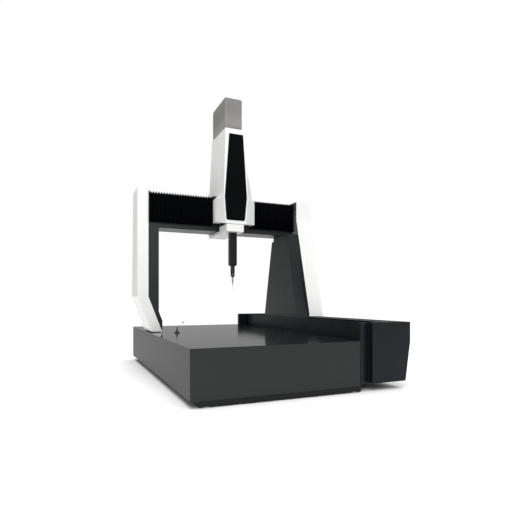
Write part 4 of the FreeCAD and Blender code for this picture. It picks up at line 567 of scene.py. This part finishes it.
class CmmSizes(bpy.types.PropertyGroup):
    """The sizes that the construction model doesn't give."""

    pleats_left: bpy.props.IntProperty(
        name="Left pleats", description="Folds of the left bellows", default=24, min=2)
    pleats_right: bpy.props.IntProperty(
        name="Right pleats", description="Folds of the right bellows", default=19, min=2)
    pleat_depth: bpy.props.FloatProperty(
        name="Pleat depth", description="From the outer to the inner folds", default=0.026, unit="LENGTH")
    cover_edge: bpy.props.FloatProperty(
        name="Cover edge", description="Radius of the left column cover's edges", default=0.009, unit="LENGTH")
    housing_edge: bpy.props.FloatProperty(
        name="Housing edge", description="Radius of the housing's edges", default=0.0135, unit="LENGTH")
    moulding_edge: bpy.props.FloatProperty(
        name="Moulding edge", description="Radius of the other white covers' edges", default=0.0018, unit="LENGTH")
    casting_edge: bpy.props.FloatProperty(
        name="Casting edge", description="Radius of both columns' edges", default=0.006, unit="LENGTH")
    beam_edge: bpy.props.FloatProperty(
        name="Beam edge", description="Radius of the cross beam's edges", default=0.004, unit="LENGTH")
    guide_edge: bpy.props.FloatProperty(
        name="Guide cover edge", description="Radius of the guide cover's edges", default=0.002, unit="LENGTH")
    ram_edge: bpy.props.FloatProperty(
        name="Ram edge", description="Radius of the ram's edges", default=0.002, unit="LENGTH")
    panel_edge: bpy.props.FloatProperty(
        name="Panel edge", description="Radius of the front panel's rim", default=0.003, unit="LENGTH")
    panel_top: bpy.props.FloatProperty(
        name="Panel's top", description="Radius of the panel's upper corners", default=0.008, unit="LENGTH")
    panel_flank: bpy.props.FloatProperty(
        name="Panel's flanks", description="Radius of the panel's widest corners", default=0.060, unit="LENGTH")
    panel_foot: bpy.props.FloatProperty(
        name="Panel's foot", description="Radius of the panel's lower corners", default=0.026, unit="LENGTH")
    sheet_edge: bpy.props.FloatProperty(
        name="Sheet edge", description="Radius of the tall cover's upright edges", default=0.012, unit="LENGTH")
    z_cover_front: bpy.props.FloatProperty(
        name="Tall cover's front", description="Radius of its upper front and left edges", default=0.006,
        unit="LENGTH")
    z_cover_side: bpy.props.FloatProperty(
        name="Tall cover's side", description="Radius of its upper right edge", default=0.025, unit="LENGTH")
    z_cover_back: bpy.props.FloatProperty(
        name="Tall cover's back", description="Radius of its upper rear edge", default=0.050, unit="LENGTH")
    sheet_thickness: bpy.props.FloatProperty(
        name="Sheet thickness", description="Wall of the tall cover", default=0.003, unit="LENGTH")
    cloth_thickness: bpy.props.FloatProperty(
        name="Cloth thickness", description="Wall of the bellows", default=0.0015, unit="LENGTH")


class CmmStage(bpy.types.PropertyGroup):
    """The camera's place and the studio's light."""

    camera_place: bpy.props.FloatVectorProperty(
        name="Camera", description="Where the camera stands", size=3, unit="LENGTH",
        default=(-2.2528, -5.7326, 1.0016))
    camera_turn: bpy.props.FloatProperty(
        name="Camera turn", description="How far the camera looks to the right of the rear",
        default=math.radians(23.55), subtype="ANGLE")
    focal_length: bpy.props.FloatProperty(
        name="Focal length", description="In millimetres on a 36 mm sensor", default=30.5, unit="CAMERA")
    rise: bpy.props.FloatProperty(
        name="Lens rise", description="Upward shift as a share of the frame", default=0.087)
    key_place: bpy.props.FloatVectorProperty(
        name="Key light's place", description="Where the softbox above the left front hangs", size=3,
        unit="LENGTH", default=(-2.2, -7.0, 4.5))
    key_size: bpy.props.FloatProperty(
        name="Key light's size", description="Side of its square softbox", default=4.0, unit="LENGTH")
    key_power: bpy.props.FloatProperty(
        name="Key light", description="Power of the softbox above the left front", default=215.0, unit="POWER")
    fill_place: bpy.props.FloatVectorProperty(
        name="Fill light's place", description="Where the softbox on the right hangs", size=3,
        unit="LENGTH", default=(6.0, -1.5, 3.5))
    fill_size: bpy.props.FloatProperty(
        name="Fill light's size", description="Side of its square softbox", default=3.0, unit="LENGTH")
    fill_power: bpy.props.FloatProperty(
        name="Fill light", description="Power of the softbox on the right", default=45.0, unit="POWER")
    ceiling: bpy.props.FloatProperty(
        name="Ceiling", description="Even light from the whole ceiling", default=2.5, min=0.0)
    room: bpy.props.FloatProperty(
        name="Room light", description="Light that comes from all round", default=0.40, min=0.0)


# ---------------------------------------------------------------- pieces
class CMM_OT_finishes(bpy.types.Operator):
    """Makes every finish and gives each construction node its own"""

    bl_idname = "cmm.finishes"
    bl_label = "Finishes"

    def execute(self, context):
        FINISHES.update(make_materials(context.scene.cmm_colours))
        for finish, nodes in NODE_FINISH.items():
            for node in nodes:
                target = frame["nodes"][node]
                target.data.materials.clear()
                target.data.materials.append(FINISHES[finish])
        return {"FINISHED"}


def pleat_wave(phase, rounding=0.2):
    """From 0 at an inner fold to 1 at an outer one: straight flanks whose tips are slightly rounded."""
    share = phase - np.floor(phase)
    straight = 1 - np.abs(1 - 2 * share)
    soft = (1 - np.cos(2 * math.pi * share)) / 2
    return (1 - rounding) * straight + rounding * soft


def bellows_mesh(name, node, pleats, depth):
    """Pleated cloth over the beam.

    Along the beam the U-shaped section goes in and out with the pleat wave. Across it runs up the front,
    round a corner, over the top, round the other corner and down the back.
    """
    low, high = low_high(node)
    corner, per_pleat, arc_steps = 14 * MM, 6, 5
    phase = np.linspace(0, pleats, pleats * per_pleat + 1)
    along = low[0] + (high[0] - low[0]) * phase / pleats
    inset = depth * (1 - pleat_wave(phase))
    angle = np.linspace(0, math.pi / 2, arc_steps + 1)
    front_y = corner * (1 - np.cos(angle))
    rise = corner * (1 - np.sin(angle))
    across_y = np.concatenate([[low[1]], low[1] + front_y, (high[1] - front_y)[::-1], [high[1]]])
    across_z = np.concatenate([[low[2]], high[2] - rise, (high[2] - rise)[::-1], [low[2]]])
    sign_y = np.where(across_y < (low[1] + high[1]) / 2, 1.0, -1.0)
    drop = np.where(across_z > low[2] + corner, 1.0, 0.0)
    points = np.stack(np.broadcast_arrays(along[:, None], across_y[None, :] + inset[:, None] * sign_y,
                                          across_z[None, :] - inset[:, None] * drop), axis=-1)
    rows, columns = points.shape[:2]
    mesh = bpy.data.meshes.new(name)
    mesh.from_pydata(points.reshape(-1, 3).tolist(), [], grid_faces(rows, columns))
    crest = mesh.attributes.new("crest", "FLOAT", "POINT")
    crest.data.foreach_set("value", np.repeat(pleat_wave(phase), columns).astype(np.float32))
    steps = np.linalg.norm(np.diff(np.stack([across_y, across_z], axis=1), axis=0), axis=1)
    round_section = np.concatenate([[0.0], np.cumsum(steps)])
    uv = np.stack(np.broadcast_arrays(along[:, None], round_section[None, :]), axis=-1).reshape(-1, 2)
    corners = np.empty(len(mesh.loops), np.int32)
    mesh.loops.foreach_get("vertex_index", corners)
    layer = mesh.uv_layers.new(name="cloth")
    layer.data.foreach_set("uv", uv[corners].ravel().astype(np.float32))
    return mesh


class CMM_OT_bellows(bpy.types.Operator):
    """Folds both bellows from the columns to the carriage"""

    bl_idname = "cmm.bellows"
    bl_label = "Bellows"

    def execute(self, context):
        sizes = context.scene.cmm_sizes
        for side, pleats, fixed_end in (("left", sizes.pleats_left, 0), ("right", sizes.pleats_right, 1)):
            node = f"bellows_{side}"
            mesh = bellows_mesh(node + "_cloth", node, pleats, sizes.pleat_depth)
            piece = add_piece(node + "_cloth", mesh, FINISHES["cloth"], None, (node,),
                              crease=20.0)
            wall = piece.modifiers.new("cloth", "SOLIDIFY")
            wall.thickness = sizes.cloth_thickness
            wall.offset = -1.0 if mesh.polygons[0].normal.y < 0 else 1.0
            low, high = low_high(node)
            middle = (low + high) / 2
            # The blend starts and ends a little past the cloth, so that both of its edges stay on their frames.
            spare = 0.05 * (high[0] - low[0])
            ends = [(low[0] - spare, middle[1], middle[2]), (high[0] + spare, middle[1], middle[2])]
            start, end = (ends[0], ends[1]) if fixed_end == 0 else (ends[1], ends[0])
            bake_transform(piece, "bridge", "carriage", start, end)
        return {"FINISHED"}


class CMM_OT_front_panel(bpy.types.Operator):
    """Makes the black panel on the housing's front, with round corners and a rounded rim

    The outline has an arc in each corner. It is stacked from the housing outwards, and moves inwards by a
    quarter circle at both faces.
    """

    bl_idname = "cmm.front_panel"
    bl_label = "Front panel"

    def execute(self, context):
        sizes = context.scene.cmm_sizes
        low, high = low_high("front_panel")
        corners = front_corners("front_panel")
        rise = corners[:, 1] - low[2]
        at_top, at_flank = rise > 0.9 * (high[2] - low[2]), rise > 100 * MM
        radii = np.select([at_top, at_flank], [sizes.panel_top, sizes.panel_flank], sizes.panel_foot)
        rings = [placed(rounded_outline(corners, radii, inset, steps=8), level, "Y")
                 for inset, level in edge_profile(0.0, high[1] - low[1], sizes.panel_edge)]
        points, faces = capped_stack([ring * (1, -1, 1) + (0, high[1], 0) for ring in rings])
        surface_piece("front_panel_acrylic", points, faces, FINISHES["panel"], "carriage",
                      ("front_panel",))
        return {"FINISHED"}


class CMM_OT_z_cover(bpy.types.Operator):
    """Bends the tall sheet cover of the Z column: a rounded box that closes over the top

    Rounded rectangles are stacked upwards, and near the top each side moves in by its own quarter circle.
    """

    bl_idname = "cmm.z_cover"
    bl_label = "Z column cover"

    def execute(self, context):
        sizes = context.scene.cmm_sizes
        low, high = low_high("z_column_cover")
        angle = np.linspace(0, math.pi / 2, 9)
        levels = np.concatenate([[low[2]], high[2] - sizes.z_cover_back * (1 - np.sin(angle))])
        rings = []
        for level in levels:
            left = front = quarter_round(level, high[2], sizes.z_cover_front)
            right = quarter_round(level, high[2], sizes.z_cover_side)
            back = quarter_round(level, high[2], sizes.z_cover_back)
            x, y = (low[0] + left, high[0] - right), (low[1] + front, high[1] - back)
            corners = [(x[0], y[0]), (x[1], y[0]), (x[1], y[1]), (x[0], y[1])]
            rings.append(placed(rounded_outline(corners, [sizes.sheet_edge] * 4), level, "Z"))
        points, faces = capped_stack(rings)
        foot_face = -2
        faces.pop(foot_face)
        piece = surface_piece("z_column_cover_sheet", points, faces, FINISHES["sheet"], "carriage",
                              ("z_column_cover",))
        wall = piece.modifiers.new("sheet", "SOLIDIFY")
        wall.thickness = sizes.sheet_thickness
        wall.offset = -1.0
        return {"FINISHED"}


class CMM_OT_air_fitting(bpy.types.Operator):
    """Turns the small push-in air fitting behind the housing's left flank"""

    bl_idname = "cmm.air_fitting"
    bl_label = "Air fitting"

    def execute(self, context):
        left = low_high("z_column_cover")[0][0]
        _, back, top = low_high("bellows_left")[1]
        foot = np.array([left, back, top]) + np.array(FITTING_PLACE) * MM
        points, faces = capped_stack(turned_points(np.array(FITTING_PROFILE) * MM, foot, around=24))
        surface_piece("air_fitting", points, faces, FINISHES["motor"], "carriage")
        return {"FINISHED"}


class CMM_OT_probe_head(bpy.types.Operator):
    """Rounds the edges of the probe head and the probe, and adds the boot above the tilting joint

    The boot is a cone turned round the head's axis, narrow enough below to clear the holder when it tilts.
    """

    bl_idname = "cmm.probe_head"
    bl_label = "Probe head"

    def execute(self, context):
        for node, edge, finish in HEAD_EDGES:
            softened(node, edge * MM, FINISHES[finish], segments=2)
        low, high = low_high("head_knuckle")
        middle = (low + high) / 2
        tilt = (middle[0], middle[1], high[2] - TILT_DROP * MM)
        points, faces = capped_stack(turned_points(np.array(BOOT_PROFILE) * MM, tilt))
        surface_piece("tilt_boot", points, faces, FINISHES["rubber"], "head")
        return {"FINISHED"}


class CMM_OT_stylus(bpy.types.Operator):
    """Turns the stylus: a threaded hub, a tapered stem and the ruby ball at its tip

    The ball's arc stops one degree short of its poles, where small flat faces close it.
    """

    bl_idname = "cmm.stylus"
    bl_label = "Stylus"

    def execute(self, context):
        low, high = low_high("stylus")
        axis = ((low[0] + high[0]) / 2, (low[1] + high[1]) / 2, 0.0)
        top, tip, hub, centre = high[2], low[2], (high[0] - low[0]) / 2, NEAR_AXIS * MM
        hub_end, chamfer, shoulder, rim = top - 7 * MM, 0.6 * MM, 1 * MM, hub * 0.9
        stem, stem_end, neck, neck_start = 2 * MM, tip + 30 * MM, 1.5 * MM, tip + 26 * MM
        ball, socket = 4 * MM, tip + 5 * MM
        profile = [(centre, top), (rim, top), (hub, top - chamfer), (hub, hub_end + chamfer), (rim, hub_end),
                   (stem, hub_end - shoulder), (stem, stem_end), (neck, neck_start), (neck, socket),
                   (centre, socket)]
        points, faces = capped_stack(turned_points(profile, axis, around=24))
        surface_piece("stylus_stem", points, faces, FINISHES["steel"], "stylus", ("stylus",))
        round_ball = arc_profile(ball, tip + ball, start=-89, end=89, steps=16)
        points, faces = capped_stack(turned_points(round_ball, axis))
        surface_piece("stylus_ball", points, faces, FINISHES["ruby"], "stylus")
        return {"FINISHED"}


class CMM_OT_white_covers(bpy.types.Operator):
    """Rounds the edges of the white moulded covers"""

    bl_idname = "cmm.white_covers"
    bl_label = "White covers"

    def execute(self, context):
        sizes = context.scene.cmm_sizes
        softened("carriage_housing", sizes.housing_edge, FINISHES["white_paint"], segments=4)
        softened("left_column_cover", sizes.cover_edge, FINISHES["white_paint"])
        for node in ("right_column_cover", "carriage_rear_cover", "underbeam_cover"):
            softened(node, sizes.moulding_edge, FINISHES["white_paint"])
        return {"FINISHED"}


class CMM_OT_castings(bpy.types.Operator):
    """Rounds the edges of both columns, the guide cover and its caps, the ram and the cross beam"""

    bl_idname = "cmm.castings"
    bl_label = "Castings and caps"

    def execute(self, context):
        sizes = context.scene.cmm_sizes
        for node in ("right_column", "left_column"):
            softened(node, sizes.casting_edge, FINISHES["column_paint"])
        for node in ("guide_cover", "guide_cover_nose", "guide_cover_rear_cap"):
            softened(node, sizes.guide_edge, FINISHES["cover_paint"])
        softened("ram", sizes.ram_edge, FINISHES["ram"])
        softened("cross_beam", sizes.beam_edge, FINISHES["beam"])
        return {"FINISHED"}


class CMM_OT_stage(bpy.types.Operator):
    """Sets up the pale floor, the soft lights and the camera"""

    bl_idname = "cmm.stage"
    bl_label = "Stage"

    def execute(self, context):
        stage = context.scene.cmm_stage
        context.scene.view_settings.view_transform = "Standard"
        self.floor()
        self.room(context.scene, stage.room)
        beam, right_column = (0.0, 0.0, 1.8), (0.3, 0.0, 1.4)
        self.soft_light("key_light", stage.key_place, beam, stage.key_size, stage.key_power)
        self.soft_light("fill_light", stage.fill_place, right_column, stage.fill_size, stage.fill_power)
        self.ceiling(stage.ceiling)
        camera = bpy.data.cameras.new("camera")
        camera.sensor_width = 36.0
        camera.lens = stage.focal_length
        camera.shift_y = stage.rise
        holder = bpy.data.objects.new("camera", camera)
        holder.location = stage.camera_place
        holder.rotation_euler = (math.radians(90), 0.0, -stage.camera_turn)
        context.scene.collection.objects.link(holder)
        context.scene.camera = holder
        return {"FINISHED"}

    @staticmethod
    def floor():
        """A pale matt floor that reaches well past the view."""
        reach = 40.0
        mesh = bpy.data.meshes.new("floor")
        corners = [(-reach, -reach, 0), (reach, -reach, 0), (reach, reach, 0), (-reach, reach, 0)]
        mesh.from_pydata(corners, [], [(0, 1, 2, 3)])
        material, tree, shader, place = new_material("pale_floor", {"Roughness": 0.9})
        tone = two_tone(tree, speckle(tree, place, 2500, 2.0), linear("#f6f6f6"), linear("#fafafa"))
        tree.links.new(tone, shader.inputs["Base Color"])
        mesh.materials.append(material)
        floor = bpy.data.objects.new("floor", mesh)
        bpy.context.scene.collection.objects.link(floor)

    @staticmethod
    def room(scene, strength):
        """A white backdrop in a room whose own light is dimmer."""
        world = bpy.data.worlds.new("room")
        world.use_nodes = True
        tree = world.node_tree
        tree.nodes.clear()
        white = (1, 1, 1, 1)
        light = add_node(tree, "ShaderNodeBackground", {"Color": white, "Strength": strength})
        backdrop = add_node(tree, "ShaderNodeBackground", {"Color": white, "Strength": 1.0})
        seen = add_node(tree, "ShaderNodeLightPath").outputs["Is Camera Ray"]
        mix = add_node(tree, "ShaderNodeMixShader", links={
            0: seen, 1: light.outputs["Background"], 2: backdrop.outputs["Background"]})
        add_node(tree, "ShaderNodeOutputWorld", links={"Surface": mix.outputs["Shader"]})
        scene.world = world

    @staticmethod
    def ceiling(strength):
        """Light that falls from the whole ceiling at once, so the floor is evenly bright."""
        lamp = bpy.data.lights.new("ceiling", "SUN")
        lamp.energy = strength
        lamp.angle = math.radians(75)
        bpy.context.scene.collection.objects.link(bpy.data.objects.new("ceiling", lamp))

    @staticmethod
    def soft_light(name, place, target, size, power):
        """A square softbox that faces a target."""
        lamp = bpy.data.lights.new(name, "AREA")
        lamp.size = size
        lamp.energy = power
        holder = bpy.data.objects.new(name, lamp)
        across, along, up = np.array(target) - np.array(place)
        level = math.hypot(across, along)
        holder.location = place
        holder.rotation_euler = (math.pi / 2 + math.atan2(up, level), 0.0, math.atan2(-across, along))
        bpy.context.scene.collection.objects.link(holder)


class CMM_PT_panel(bpy.types.Panel):
    """Lists the steps that dress the machine"""

    bl_label = "Measuring Machine"
    bl_idname = "CMM_PT_panel"
    bl_space_type = "VIEW_3D"
    bl_region_type = "UI"
    bl_category = "Measuring Machine"

    def draw(self, context):
        for group in (context.scene.cmm_colours, context.scene.cmm_sizes, context.scene.cmm_stage):
            box = self.layout.box()
            for name in group.__annotations__:
                box.prop(group, name)
        for operator in OPERATORS:
            self.layout.operator(operator.bl_idname)


OPERATORS = (CMM_OT_finishes, CMM_OT_bellows, CMM_OT_front_panel, CMM_OT_z_cover, CMM_OT_air_fitting,
             CMM_OT_probe_head, CMM_OT_stylus, CMM_OT_white_covers, CMM_OT_castings, CMM_OT_stage)
GROUPS = {"cmm_colours": CmmColours, "cmm_sizes": CmmSizes, "cmm_stage": CmmStage}


def register():
    """Makes the settings, the operators and the panel known to Blender."""
    for name, group in GROUPS.items():
        bpy.utils.register_class(group)
        setattr(bpy.types.Scene, name, bpy.props.PointerProperty(type=group))
    for operator in OPERATORS:
        bpy.utils.register_class(operator)
    bpy.utils.register_class(CMM_PT_panel)


def unregister():
    """Takes them away again."""
    bpy.utils.unregister_class(CMM_PT_panel)
    for operator in reversed(OPERATORS):
        bpy.utils.unregister_class(operator)
    for name, group in GROUPS.items():
        delattr(bpy.types.Scene, name)
        bpy.utils.unregister_class(group)


def main():
    """Dresses the machine, one operator after another."""
    register()
    for operator in OPERATORS:
        group, action = operator.bl_idname.split(".")
        getattr(getattr(bpy.ops, group), action)()


if __name__ == "__main__":
    main()
